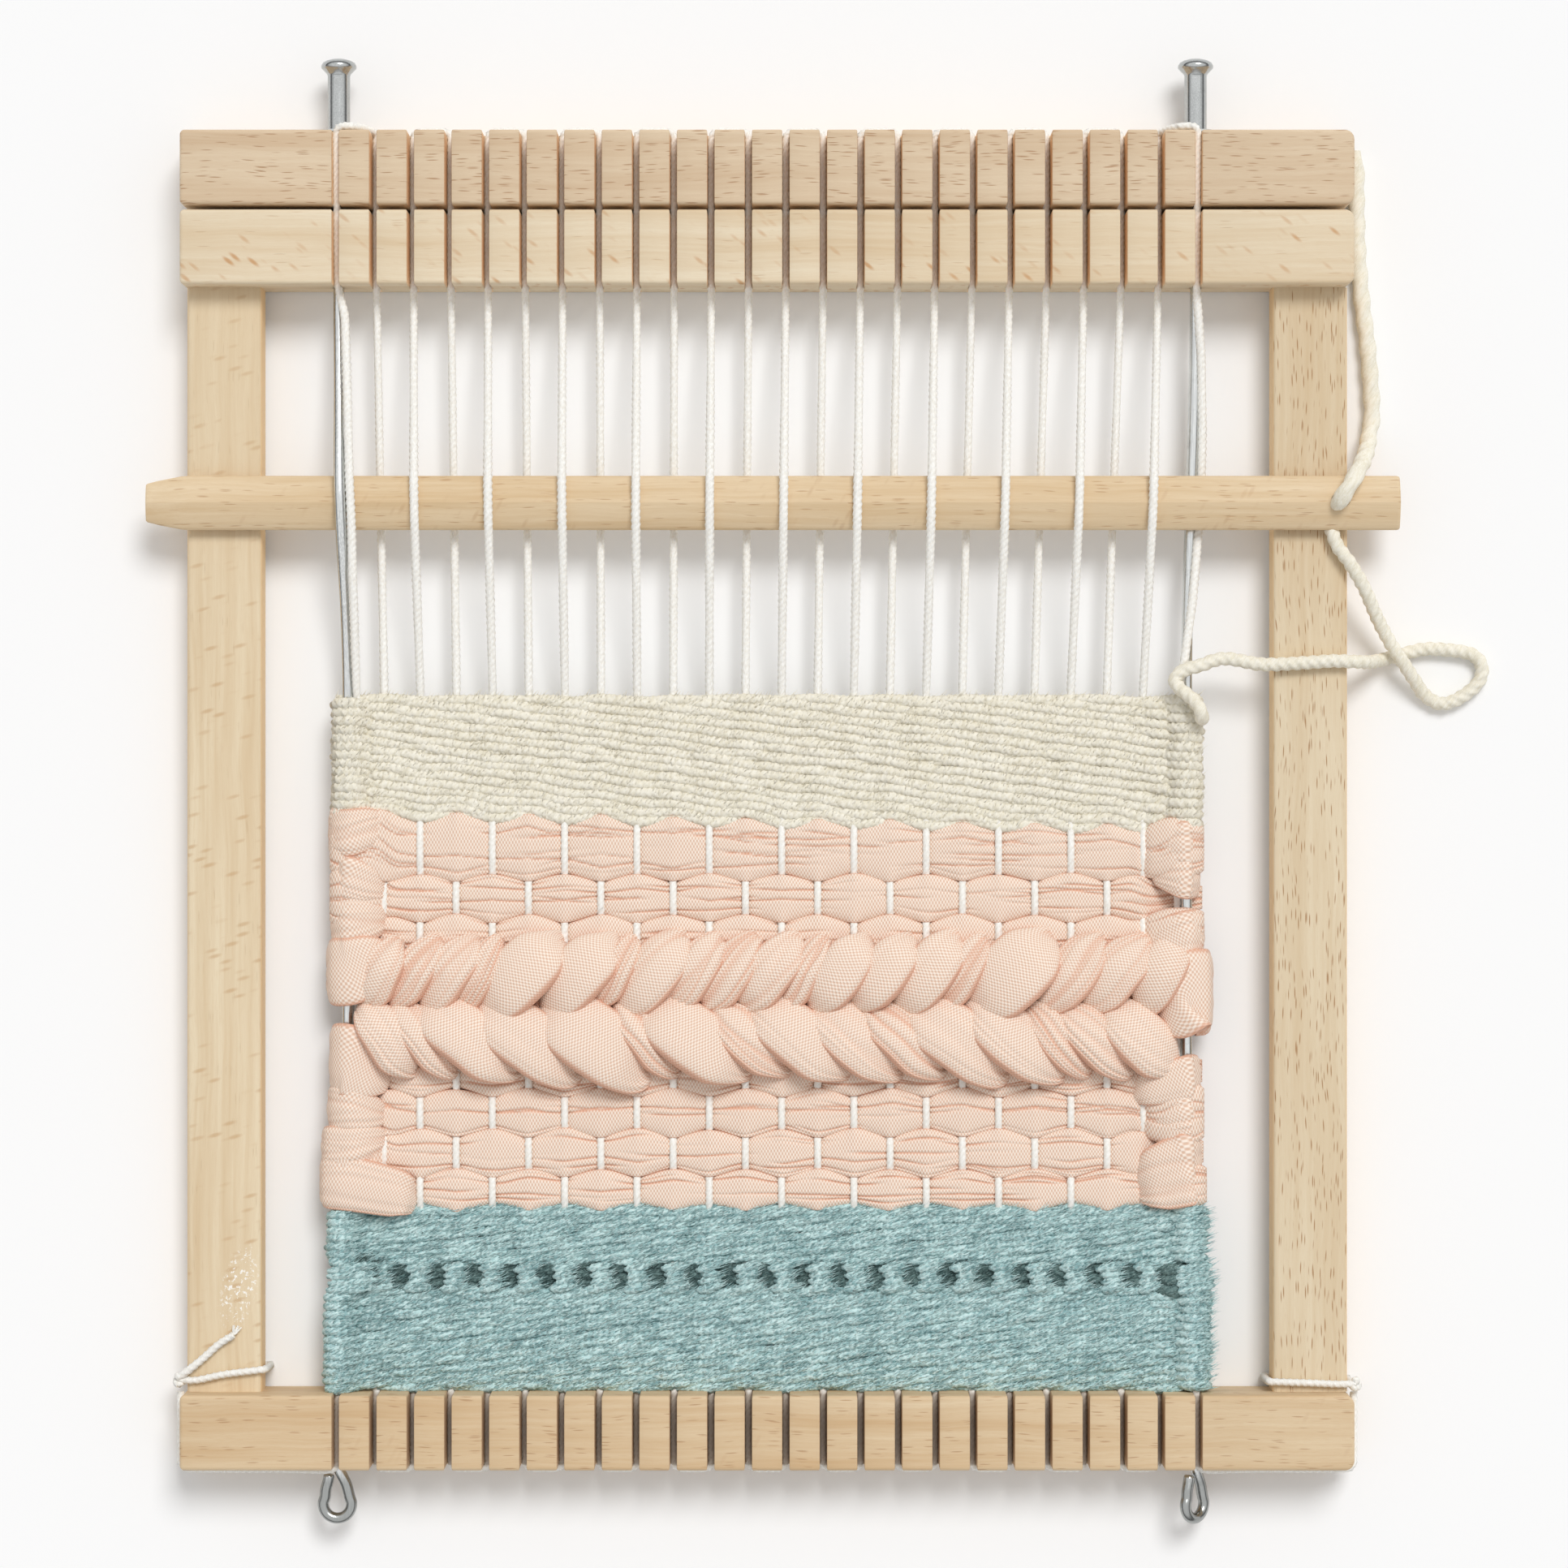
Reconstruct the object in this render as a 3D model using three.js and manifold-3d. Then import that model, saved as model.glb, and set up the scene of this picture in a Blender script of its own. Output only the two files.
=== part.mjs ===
// A child's weaving loom with a half-finished cloth, lying on its back.
// Millimetres. X runs along the bars, Y from the bottom bar to the top bar, Z up to the weaver.
// The origin is the centre of the bottom bar's back face.

import * as THREE from "three";
import { mergeVertices } from "three/addons/utils/BufferGeometryUtils.js";
import Module from "manifold-3d";

const wasm = await Module();
wasm.setup();

// Bars
const barLength = 313;
const barSide = 20;
const barEase = 1;
const barCorner = 3;
const frameOpening = 296;
const topBarGap = 1.25;

// Kerfs sawn into the front of the bars
const kerfCount = 24;
const kerfPitch = 10;
const kerfWidth = 1.9;
const kerfDepth = 12;
const cutPast = 1;

// Stiles, tenoned into the bars
const stileWidth = 20;
const stileThickness = 10;
const stileBack = 2.25;
const stileInset = 1;
const stileEase = 1;
const tenonWidth = 12;
const tenonThickness = 5;
const tenonLength = 12;
const jointClearance = 0.3;

// Edge rods, sleeve nuts and washers
const rodDiameter = 3;
const rodRunningClearance = 0.15;
const rodEngagement = 11;
const eyeRadius = 3.8;
const eyeOffset = 0.4;
const eyeLength = 15.7;
const eyeBendFrom = 30;
const eyeBend = 240;
const eyeBendSteps = 10;
const eyeNeck = [
  [0, -0.5],
  [0.3, 1.4],
  [1.1, 3.2],
  [2.1, 5.4],
];
const eyeCutEnd = [
  [-3.5, 6.5],
  [-2.9, 4.2],
  [-2.6, 2.4],
];
const rightEyeTurn = 45;
const washerDiameter = 11.6;
const washerThickness = 0.8;
const shankDiameter = 6;
const shankLength = 15.5;
const headDiameter = 9.5;
const headHeight = 4;
const headDome = [
  [1, 0.35],
  [1, 0.6],
  [0.85, 0.83],
  [0.55, 0.96],
];
const nutBoreDepth = 13;
const nutSlotWidth = 2.4;
const nutSlotLength = 5;
const nutSlotDepth = 0.8;
const nutSlotBelowHead = 0.3;

// Weaving needle
const needleLength = 335;
const needleWidth = 14.5;
const needleThickness = 6;
const needleLeftEnd = -166;
const needleHeightUpFrame = 238;
const needleTipLength = 10;
const needleTipWidth = 10.8;
const needleTipThickness = 4.2;
const needleEndEase = 1;
const needleEndWidth = 13.6;
const needleEndThickness = 5.1;
const needleSection = [
  [1, 0.22],
  [0.8, 0.62],
  [0.5, 0.93],
  [0.15, 1],
];
const needleEyeDiameter = 5.5;
const needleEyeFromEnd = 16.7;
const needleLift = 0.3;

// Warp thread
const warpDiameter = 1.4;
const warpClearance = 0.25;
const warpTurn = 0.6;
const warpSides = 6;
const warpFlatOverNeedle = 8.1;
const warpPastBar = 1;
const lastRunHug = 0.25;
const lastRunAboveCloth = [1, 17];
const lastRunBelowBar = [6, 24];
const washerCrossing = 5.5;
const washerCrossingDrop = 1.1;
const tieRunFlat = 9;
const tieRunDown = 16;

// Warp ties at the stiles' feet
const tieHeight = 3.2;
const tieRise = 1.5;
const tieBend = 1.4;
const knotRadius = 2;
const knotOut = 0.9;
const knotDown = 0.6;
const tailRoute = [
  [0.2, 0.6],
  [-5, 4.5],
  [-13, 11],
];

// Cloth, in bands from the bottom bar upwards
const clothEdge = 3.6;
const bandGap = 0.3;
const clothThickness = 5.8;
const selvedgeThickness = 9.8;
const ribbonThickness = 2.6;
const ribbonScallop = 1.2;
const soumakDepth = 11;
const soumakOverhang = 1.7;
const lobeCount = 14;
const lobePinch = 0.78;
const lobeSlant = 0.55;
const tunnelClearance = 0.5;
const woolEase = 1;
const woolEaseShare = 0.75;
const woolSelvedge = [
  [1, 0.6],
  [0.45, 1],
  [-0.7, 0.95],
];
const selvedgeReach = 6;
const selvedgeLift = 1;
const ribbonSelvedge = [
  [1, 0.4],
  [0.6, 1],
  [-0.7, 1],
];
const ribbonFlatShare = 0.7;
const lobeEndShare = 0.55;
const tealLowerHeight = 26.9;
const darkRowHeight = 7.5;
const tealUpperHeight = 14.8;
const ribbonHeight = 10.9;
const slackRibbonHeight = 14.8;
const firstRibbonHeight = 9.1;
const coveredRibbonHeight = 6.3;
const soumakLowerHeight = 18.35;
const soumakUpperHeight = 15.65;
const ivoryHeight = 33.85;
const bands = [
  { name: "teal_lower", kind: "wool", height: tealLowerHeight, colour: 0x96bebe },
  { name: "dark_row", kind: "wool", height: darkRowHeight, colour: 0x50706f },
  { name: "teal_upper", kind: "wool", height: tealUpperHeight, colour: 0x96bebe },
  { name: "ribbon_row_7", kind: "ribbon", height: firstRibbonHeight, overOdd: true },
  { name: "ribbon_row_6", kind: "ribbon", height: ribbonHeight, overOdd: false },
  { name: "ribbon_row_5", kind: "ribbon", height: ribbonHeight, overOdd: true },
  { name: "ribbon_row_4", kind: "ribbon", height: coveredRibbonHeight, overOdd: false },
  { name: "soumak_lower", kind: "soumak", height: soumakLowerHeight, slant: -1 },
  { name: "soumak_upper", kind: "soumak", height: soumakUpperHeight, slant: 1 },
  { name: "ribbon_row_3", kind: "ribbon", height: coveredRibbonHeight, overOdd: true },
  { name: "ribbon_row_2", kind: "ribbon", height: ribbonHeight, overOdd: false },
  { name: "ribbon_row_1", kind: "ribbon", height: slackRibbonHeight, overOdd: true },
  { name: "ivory_band", kind: "wool", height: ivoryHeight, colour: 0xe1dfcf },
];

// Weft yarn that lies free between the cloth and the needle
const yarnDiameter = 3.6;
const yarnTailDiameter = 4.4;
const yarnSides = 8;
const loopSteps = 44;
const tailSteps = 18;

// Places that follow from the sizes
const bottomBarTop = barSide / 2;
const fixedBarBottom = bottomBarTop + frameOpening;
const fixedBarTop = fixedBarBottom + barSide;
const topBarBottom = fixedBarTop + topBarGap;
const topBarTop = topBarBottom + barSide;
const kerfFloor = barSide - kerfDepth;
const edgeX = ((kerfCount - 1) * kerfPitch) / 2;
const stileX = barLength / 2 - stileInset - stileWidth / 2;
const stileFront = stileBack + stileThickness;
const rodZ = barSide / 2;
const rodRadius = rodDiameter / 2;
const washerTop = topBarTop + washerThickness;
const warpRadius = warpDiameter / 2;
const warpOffset = warpClearance + warpRadius;
const warpZ = kerfFloor + warpOffset;
const warpOverRodZ = rodZ + rodRadius + warpOffset;
const warpOverWasherZ = rodZ + washerDiameter / 2 + warpOffset;
const needleY = bottomBarTop + needleHeightUpFrame;
const needleBack = stileFront + needleLift;
const needleFront = needleBack + needleThickness;
const clothBottom = bottomBarTop + bandGap / 2;
const clothTop = clothBottom + bands.reduce((sum, band) => sum + band.height, 0);

// Materials
const material = (colour, roughness, metalness = 0) =>
  new THREE.MeshStandardMaterial({ color: colour, roughness, metalness });
const paleBeech = () => material(0xdfc49c, 0.6);
const pinkBeech = () => material(0xd9b992, 0.6);
const steel = () => material(0xc4c8cc, 0.25, 1);
const cotton = () => material(0xf1efe6, 0.9);
const ribbonKnit = () => material(0xf3d3bf, 0.7);
const ivoryWool = () => material(0xe9e6d8, 0.95);

// A closed geometry as a solid, with its faces pointing out.
function solid(geometry) {
  const bare = geometry.clone();
  bare.deleteAttribute("normal");
  bare.deleteAttribute("uv");
  const merged = mergeVertices(bare);
  const vertices = merged.attributes.position.array;
  const triangles = new Uint32Array(merged.index.array);
  const corner = (k) => new THREE.Vector3().fromArray(vertices, 3 * triangles[k]);
  let volume = 0;
  for (let k = 0; k < triangles.length; k += 3) {
    volume += corner(k).dot(corner(k + 1).cross(corner(k + 2)));
  }
  if (volume < 0) {
    triangles.reverse();
  }
  const mesh = new wasm.Mesh({ numProp: 3, vertProperties: vertices, triVerts: triangles });
  return new wasm.Manifold(mesh);
}

// A solid as a geometry again.
function geometryOf(body) {
  const mesh = body.getMesh();
  const geometry = new THREE.BufferGeometry();
  geometry.setAttribute("position", new THREE.BufferAttribute(mesh.vertProperties, 3));
  geometry.setIndex(new THREE.BufferAttribute(mesh.triVerts, 1));
  return geometry;
}

const cut = (geometry, tools) =>
  geometryOf(tools.reduce((body, tool) => body.subtract(solid(tool)), solid(geometry)));
const join = (geometry, others) =>
  geometryOf(others.reduce((body, other) => body.add(solid(other)), solid(geometry)));

function box(x0, x1, y0, y1, z0, z1) {
  const geometry = new THREE.BoxGeometry(x1 - x0, y1 - y0, z1 - z0);
  return geometry.translate((x0 + x1) / 2, (y0 + y1) / 2, (z0 + z1) / 2);
}

// A round bar or hole along Y.
function roundAlongY(radius, x, z, y0, y1, sides) {
  const geometry = new THREE.CylinderGeometry(radius, radius, y1 - y0, sides);
  return geometry.translate(x, (y0 + y1) / 2, z);
}

function roundedRectangle(width, height, radius) {
  const x = width / 2 - radius;
  const y = height / 2 - radius;
  const shape = new THREE.Shape();
  shape.absarc(x, y, radius, 0, Math.PI / 2);
  shape.absarc(-x, y, radius, Math.PI / 2, Math.PI);
  shape.absarc(-x, -y, radius, Math.PI, 1.5 * Math.PI);
  shape.absarc(x, -y, radius, 1.5 * Math.PI, 2 * Math.PI);
  return shape;
}

// A closed skin over convex rings of points, with a fan over each end.
function loft(rings) {
  const sides = rings[0].length;
  const faces = [];
  for (let r = 0; r + 1 < rings.length; r++) {
    for (let s = 0; s < sides; s++) {
      const a = r * sides + s;
      const b = r * sides + ((s + 1) % sides);
      faces.push(a, b, b + sides, a, b + sides, a + sides);
    }
  }
  const last = (rings.length - 1) * sides;
  for (let s = 1; s + 1 < sides; s++) {
    faces.push(0, s + 1, s, last, last + s, last + s + 1);
  }
  const geometry = new THREE.BufferGeometry().setFromPoints(rings.flat());
  geometry.setIndex(faces);
  return geometryOf(solid(geometry));
}

// A round wire or thread through a list of points, with a ring square to the run at each.
function wire(points, radius, sides) {
  let normal = new THREE.Vector3(0, 0, 1);
  const rings = points.map((point, k) => {
    const before = points[Math.max(k - 1, 0)];
    const after = points[Math.min(k + 1, points.length - 1)];
    const into = point.clone().sub(before).normalize();
    const onward = after.clone().sub(point).normalize();
    const along = into.add(onward).normalize();
    normal = normal.clone().addScaledVector(along, -normal.dot(along)).normalize();
    const across = new THREE.Vector3().crossVectors(along, normal);
    return Array.from({ length: sides }, (_, s) => {
      const angle = ((s + 0.5) / sides) * 2 * Math.PI;
      return point
        .clone()
        .addScaledVector(normal, radius * Math.cos(angle))
        .addScaledVector(across, radius * Math.sin(angle));
    });
  });
  return loft(rings);
}

const at = (x, y, z) => new THREE.Vector3(x, y, z);

function named(name, geometry, finish) {
  const mesh = new THREE.Mesh(geometry, finish);
  mesh.name = name;
  return mesh;
}

// A bar: a square beech strip with eased edges, its kerfs and the two rod holes.
function barGeometry(bottom) {
  const outline = roundedRectangle(barLength, barSide, barCorner);
  const blank = new THREE.ExtrudeGeometry(outline, {
    depth: barSide - 2 * barEase,
    curveSegments: 3,
    bevelThickness: barEase,
    bevelSize: barEase,
    bevelOffset: -barEase,
    bevelSegments: 1,
  });
  blank.translate(0, bottom + barSide / 2, barEase);
  const below = bottom - cutPast;
  const above = bottom + barSide + cutPast;
  const tools = [];
  for (let i = 0; i < kerfCount; i++) {
    const left = i * kerfPitch - edgeX - kerfWidth / 2;
    tools.push(box(left, left + kerfWidth, below, above, kerfFloor, barSide + cutPast));
  }
  for (const x of [-edgeX, edgeX]) {
    tools.push(roundAlongY(rodRadius + rodRunningClearance, x, rodZ, below, above, 12));
  }
  return cut(blank, tools);
}

// The mortises that a bar takes its two tenons in; their open ends lie at openY.
function mortises(openY, direction) {
  const halfWidth = tenonWidth / 2 + jointClearance;
  const halfThickness = tenonThickness / 2 + jointClearance;
  const floorY = openY + direction * (tenonLength + jointClearance);
  const mouthY = openY - direction * cutPast;
  const z = stileBack + stileThickness / 2;
  return [-stileX, stileX].map((x) =>
    box(
      x - halfWidth,
      x + halfWidth,
      Math.min(floorY, mouthY),
      Math.max(floorY, mouthY),
      z - halfThickness,
      z + halfThickness,
    ),
  );
}

// A stile about its own middle: an eased strip with a tenon at each end.
function stileGeometry() {
  const section = roundedRectangle(stileWidth, stileThickness, stileEase);
  const strip = new THREE.ExtrudeGeometry(section, {
    depth: frameOpening,
    curveSegments: 2,
    bevelEnabled: false,
  });
  strip.translate(0, 0, -frameOpening / 2).rotateX(Math.PI / 2);
  const tenon = new THREE.BoxGeometry(tenonWidth, frameOpening + 2 * tenonLength, tenonThickness);
  return join(strip, [tenon]);
}

const loom = new THREE.Group();

// The frame
const bottomBar = cut(barGeometry(-barSide / 2), mortises(bottomBarTop, -1));
const fixedTopBar = cut(barGeometry(fixedBarBottom), mortises(fixedBarBottom, 1));
loom.add(named("bottom_bar", bottomBar, paleBeech()));
loom.add(named("fixed_top_bar", fixedTopBar, paleBeech()));
loom.add(named("top_bar", barGeometry(topBarBottom), pinkBeech()));
for (const [name, side] of [["left_stile", -1], ["right_stile", 1]]) {
  const stile = named(name, stileGeometry(), paleBeech());
  stile.position.set(side * stileX, bottomBarTop + frameOpening / 2, stileBack + stileThickness / 2);
  loom.add(stile);
}

// An edge rod about its own axis: straight above, bent to a drop-shaped eye below the bar.
function rodGeometry(eyeTurn) {
  const foot = -barSide / 2;
  const bowlY = foot - eyeLength + rodRadius + eyeRadius;
  const belowFoot = ([x, drop]) => [x, foot - drop];
  const bowl = [];
  for (let k = 0; k <= eyeBendSteps; k++) {
    const angle = THREE.MathUtils.degToRad(eyeBendFrom - (eyeBend * k) / eyeBendSteps);
    bowl.push([eyeRadius * Math.cos(angle) - eyeOffset, bowlY + eyeRadius * Math.sin(angle)]);
  }
  const top = [0, washerTop + rodEngagement];
  const line = [top, ...eyeNeck.map(belowFoot), ...bowl, ...eyeCutEnd.map(belowFoot)];
  const points = line.map(([x, y]) => at(x, y, 0));
  return wire(points, rodRadius, 8).rotateY(THREE.MathUtils.degToRad(eyeTurn));
}

// A washer about its own axis, its lower face at zero.
function washerGeometry() {
  const inner = rodRadius + rodRunningClearance;
  const outer = washerDiameter / 2;
  const profile = [
    new THREE.Vector2(inner, 0),
    new THREE.Vector2(outer, 0),
    new THREE.Vector2(outer, washerThickness),
    new THREE.Vector2(inner, washerThickness),
    new THREE.Vector2(inner, 0),
  ];
  return geometryOf(solid(new THREE.LatheGeometry(profile, 20)));
}

// A sleeve nut about its own axis, standing on zero: bored shank, coned and domed head, shallow slot.
function nutGeometry() {
  const bore = rodRadius + rodRunningClearance;
  const shank = shankDiameter / 2;
  const head = headDiameter / 2;
  const profile = [
    [0, nutBoreDepth],
    [bore, nutBoreDepth],
    [bore, 0],
    [shank, 0],
    [shank, shankLength],
    ...headDome.map(([out, up]) => [out * head, shankLength + up * headHeight]),
    [0, shankLength + headHeight],
  ].map(([r, y]) => new THREE.Vector2(r, y));
  const turned = new THREE.LatheGeometry(profile, 20);
  const slotTop = shankLength - nutSlotBelowHead;
  const slotRound = slotTop - nutSlotLength + nutSlotWidth / 2;
  const slotFloor = shank - nutSlotDepth;
  const slotHigh = shank + cutPast;
  const slot = box(-nutSlotWidth / 2, nutSlotWidth / 2, slotRound, slotTop, slotFloor, slotHigh);
  const slotEnd = new THREE.CylinderGeometry(nutSlotWidth / 2, nutSlotWidth / 2, slotHigh - slotFloor, 12);
  slotEnd.rotateX(Math.PI / 2).translate(0, slotRound, (slotFloor + slotHigh) / 2);
  return cut(turned, [slot, slotEnd]);
}

for (const [sideName, side, eyeTurn] of [["left", -1, 0], ["right", 1, rightEyeTurn]]) {
  const rod = named(sideName + "_rod", rodGeometry(eyeTurn), steel());
  rod.position.set(side * edgeX, 0, rodZ);
  const washer = named(sideName + "_washer", washerGeometry(), steel());
  washer.position.set(side * edgeX, topBarTop, rodZ);
  const nut = named(sideName + "_nut", nutGeometry(), steel());
  nut.position.set(side * edgeX, washerTop, rodZ);
  loom.add(rod, washer, nut);
}

// The needle: a lens-shaped flat stick, narrowed at its left tip, with a round eye at its right.
function needleGeometry() {
  const halfWidth = needleWidth / 2;
  const halfThickness = needleThickness / 2;
  const quarter = needleSection.map(([across, up]) => [across * halfWidth, up * halfThickness]);
  const upper = [...quarter, ...quarter.map(([y, z]) => [-y, z]).reverse()];
  const outline = [...upper, ...upper.map(([y, z]) => [-y, -z])];
  const middle = needleBack + halfThickness;
  const ring = (x, width, thickness) =>
    outline.map(([y, z]) =>
      at(x, needleY + (y * width) / needleWidth, middle + (z * thickness) / needleThickness),
    );
  const rightEnd = needleLeftEnd + needleLength;
  const stick = loft([
    ring(needleLeftEnd, needleTipWidth, needleTipThickness),
    ring(needleLeftEnd + needleTipLength, needleWidth, needleThickness),
    ring(rightEnd - needleEndEase, needleWidth, needleThickness),
    ring(rightEnd, needleEndWidth, needleEndThickness),
  ]);
  const holeRadius = needleEyeDiameter / 2;
  const eye = new THREE.CylinderGeometry(holeRadius, holeRadius, needleThickness + 2 * cutPast, 12);
  eye.rotateX(Math.PI / 2).translate(rightEnd - needleEyeFromEnd, needleY, middle);
  return cut(stick, [eye]);
}
loom.add(named("weaving_needle", needleGeometry(), paleBeech()));

// One warp run from the lower loop to the upper loop. Even runs pass over the needle, odd ones behind it.
function warpRun(i) {
  const x = i * kerfPitch - edgeX;
  const lowerY = -barSide / 2 - warpOffset;
  const upperY = topBarTop + warpOffset;
  const overNeedleZ = needleFront + warpOffset;
  const overNeedle = [
    at(x, needleY - warpFlatOverNeedle / 2, overNeedleZ),
    at(x, needleY + warpFlatOverNeedle / 2, overNeedleZ),
  ];
  const aboveCloth = clothTop + warpPastBar;
  const belowBar = fixedBarBottom - warpPastBar;
  if (i === 0) {
    return [
      at(x, lowerY + warpTurn, warpOverRodZ),
      at(x, aboveCloth, warpOverRodZ),
      ...overNeedle,
      at(x, belowBar, warpOverRodZ),
      at(x, topBarTop - warpPastBar, warpOverWasherZ),
      at(x, washerTop, warpOverWasherZ),
    ];
  }
  if (i === kerfCount - 1) {
    // The last run turns a quarter way round the rod, to lie beside it behind the needle.
    const turnRadius = rodRadius + warpOffset + lastRunHug;
    const [turnFrom, turnTo] = lastRunAboveCloth.map((up) => clothTop + up);
    const [returnTo, returnFrom] = lastRunBelowBar.map((down) => fixedBarBottom - down);
    const quarterTurn = (y0, y1) =>
      [0, 30, 60, 90].map((degrees) => {
        const angle = THREE.MathUtils.degToRad(degrees);
        const y = y0 + ((y1 - y0) * degrees) / 90;
        return at(x + turnRadius * Math.sin(angle), y, rodZ + turnRadius * Math.cos(angle));
      });
    return [
      at(x, lowerY + warpTurn, warpOverRodZ),
      ...quarterTurn(turnFrom, turnTo),
      ...quarterTurn(returnTo, returnFrom).reverse(),
      at(x, topBarTop - warpPastBar, warpOverWasherZ),
      at(x, washerTop, warpOverWasherZ),
    ];
  }
  const lower = [at(x, lowerY + warpTurn, warpZ)];
  const upper = [at(x, upperY - warpTurn, warpZ)];
  if (i % 2 === 1) {
    return [...lower, ...upper];
  }
  return [...lower, at(x, aboveCloth, warpZ), ...overNeedle, at(x, belowBar, warpZ), ...upper];
}

// From an edge run over the top bar to its neighbour, round the front of the washer.
function warpRoundWasher(side) {
  const y = topBarTop + warpOffset;
  const x = side * edgeX;
  const nextX = side * (edgeX - kerfPitch);
  return [
    at(x - side * warpTurn, y, warpOverWasherZ),
    at(x - side * washerCrossing, y, warpOverWasherZ - washerCrossingDrop),
    at(nextX + side * warpTurn, y, warpZ + warpTurn),
  ];
}

// From an edge run along the bottom bar's lower face and up its end, to the tie at the stile's foot.
function warpToTie(side) {
  const y = -barSide / 2 - warpOffset;
  const endX = barLength / 2 + warpOffset;
  return [
    at(side * (edgeX + warpTurn), y, warpOverRodZ),
    at(side * (edgeX + tieRunFlat), y, warpOverRodZ),
    at(side * (edgeX + tieRunDown), y, rodZ),
    at(side * (endX - warpTurn), y, rodZ),
    at(side * endX, y + warpTurn, rodZ),
    at(side * endX, bottomBarTop + warpTurn, rodZ + warpTurn),
  ];
}

// The whole warp: up and down through every kerf, as one unbroken thread.
function warpPoints() {
  const lowerY = -barSide / 2 - warpOffset;
  const upperY = topBarTop + warpOffset;
  const points = warpToTie(-1).reverse();
  for (let i = 0; i < kerfCount; i++) {
    const goesUp = i % 2 === 0;
    const run = warpRun(i);
    points.push(...(goesUp ? run : run.reverse()));
    const x = i * kerfPitch - edgeX;
    if (i === 0) {
      points.push(...warpRoundWasher(-1));
    } else if (i === kerfCount - 2) {
      points.push(...warpRoundWasher(1).reverse());
    } else if (i < kerfCount - 1) {
      const y = goesUp ? upperY : lowerY;
      points.push(at(x + warpTurn, y, warpZ), at(x + kerfPitch - warpTurn, y, warpZ));
    }
  }
  points.push(...warpToTie(1));
  return points;
}

// The least gap that the warp keeps to its own other turns, measured on close steps along it.
function leastGap(points, radius) {
  const step = 4;
  const beads = [];
  let travelled = 0;
  for (let k = 0; k + 1 < points.length; k++) {
    const length = points[k].distanceTo(points[k + 1]);
    const count = Math.ceil(length / step);
    for (let j = 0; j < count; j++) {
      const place = points[k].clone().lerp(points[k + 1], j / count);
      beads.push({ place, run: travelled + (length * j) / count });
    }
    travelled += length;
  }
  let least = Infinity;
  const skip = 2 * kerfPitch;
  for (let a = 0; a < beads.length; a++) {
    for (let b = a + 1; b < beads.length; b++) {
      if (beads[b].run - beads[a].run > skip) {
        least = Math.min(least, beads[a].place.distanceTo(beads[b].place));
      }
    }
  }
  return { least: least - 2 * radius, length: travelled };
}

const warp = warpPoints();
const warpMeasure = leastGap(warp, warpRadius);
const warpMetres = (warpMeasure.length / 1000).toFixed(2);
console.log("warp thread: " + warpMetres + " m, least gap to itself " + warpMeasure.least.toFixed(2));
loom.add(named("warp_cord", wire(warp, warpRadius, warpSides), cotton()));

// The warp's end: a turn round a stile's foot drawn into a knot, with a cut tail on the left one.
function tieGeometry(side, tail) {
  const inner = stileX - stileWidth / 2 - warpOffset;
  const outer = stileX + stileWidth / 2 + warpOffset;
  const front = stileFront + warpOffset;
  const back = stileBack - warpOffset;
  const y = bottomBarTop + tieHeight;
  const innerY = y + tieRise;
  const knot = new THREE.IcosahedronGeometry(knotRadius, 1);
  knot.translate(side * (outer + knotOut), y, front - knotDown);
  const turn = [
    at(side * (outer + knotOut), y, front - knotDown),
    at(side * (outer - tieBend), y, front),
    at(side * (inner + tieBend), innerY, front),
    at(side * inner, innerY, front - tieBend),
    at(side * inner, innerY, back + tieBend),
    at(side * (inner + tieBend), innerY, back),
    at(side * (outer - tieBend), y, back),
    at(side * outer, y, back + tieBend),
    at(side * outer, y, front - tieBend),
  ];
  const pieces = [wire(turn, warpRadius, warpSides)];
  if (tail) {
    const loose = tailRoute.map(([out, up]) => at(side * (outer + out), y + up, front));
    pieces.push(wire(loose, warpRadius, warpSides));
  }
  return join(knot, pieces);
}
loom.add(named("left_warp_tie", tieGeometry(-1, true), cotton()));
loom.add(named("right_warp_tie", tieGeometry(1, false), cotton()));

// The room that a band of cloth leaves for a rod and the warp run in front of it.
function edgeTunnels(y0, y1) {
  const rodRoom = rodRadius + tunnelClearance;
  const threadRoom = warpRadius + tunnelClearance;
  return [-edgeX, edgeX].flatMap((x) => [
    roundAlongY(rodRoom, x, rodZ, y0 - cutPast, y1 + cutPast, 8),
    box(x - threadRoom, x + threadRoom, y0 - cutPast, y1 + cutPast, rodZ, warpOverRodZ + threadRoom),
  ]);
}

// A beaten band of fine wool rows: a flat pad with thick selvedges and a tunnel for every warp run.
function woolGeometry(y0, y1) {
  const ring = (x, middle, thickness) => {
    const half = thickness / 2;
    const quarter = [
      [y1, woolEaseShare * half],
      [y1 - woolEase, half],
      [y0 + woolEase, half],
      [y0, woolEaseShare * half],
    ];
    const under = quarter.map(([y, z]) => [y, -z]).reverse();
    return [...quarter, ...under].map(([y, z]) => at(x, y, middle + z));
  };
  const left = woolSelvedge.map(([out, thick]) =>
    ring(-edgeX - out * clothEdge, rodZ + selvedgeLift, thick * selvedgeThickness),
  );
  left.push(ring(-edgeX + selvedgeReach, warpZ, clothThickness));
  const right = left.map((points) => points.map((p) => at(-p.x, p.y, p.z))).reverse();
  const tools = edgeTunnels(y0, y1);
  const room = warpRadius + tunnelClearance;
  for (let i = 1; i < kerfCount - 1; i++) {
    const x = i * kerfPitch - edgeX;
    tools.push(box(x - room, x + room, y0 - cutPast, y1 + cutPast, warpZ - room, warpZ + room));
  }
  return cut(loft([...left, ...right]), tools);
}

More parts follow.
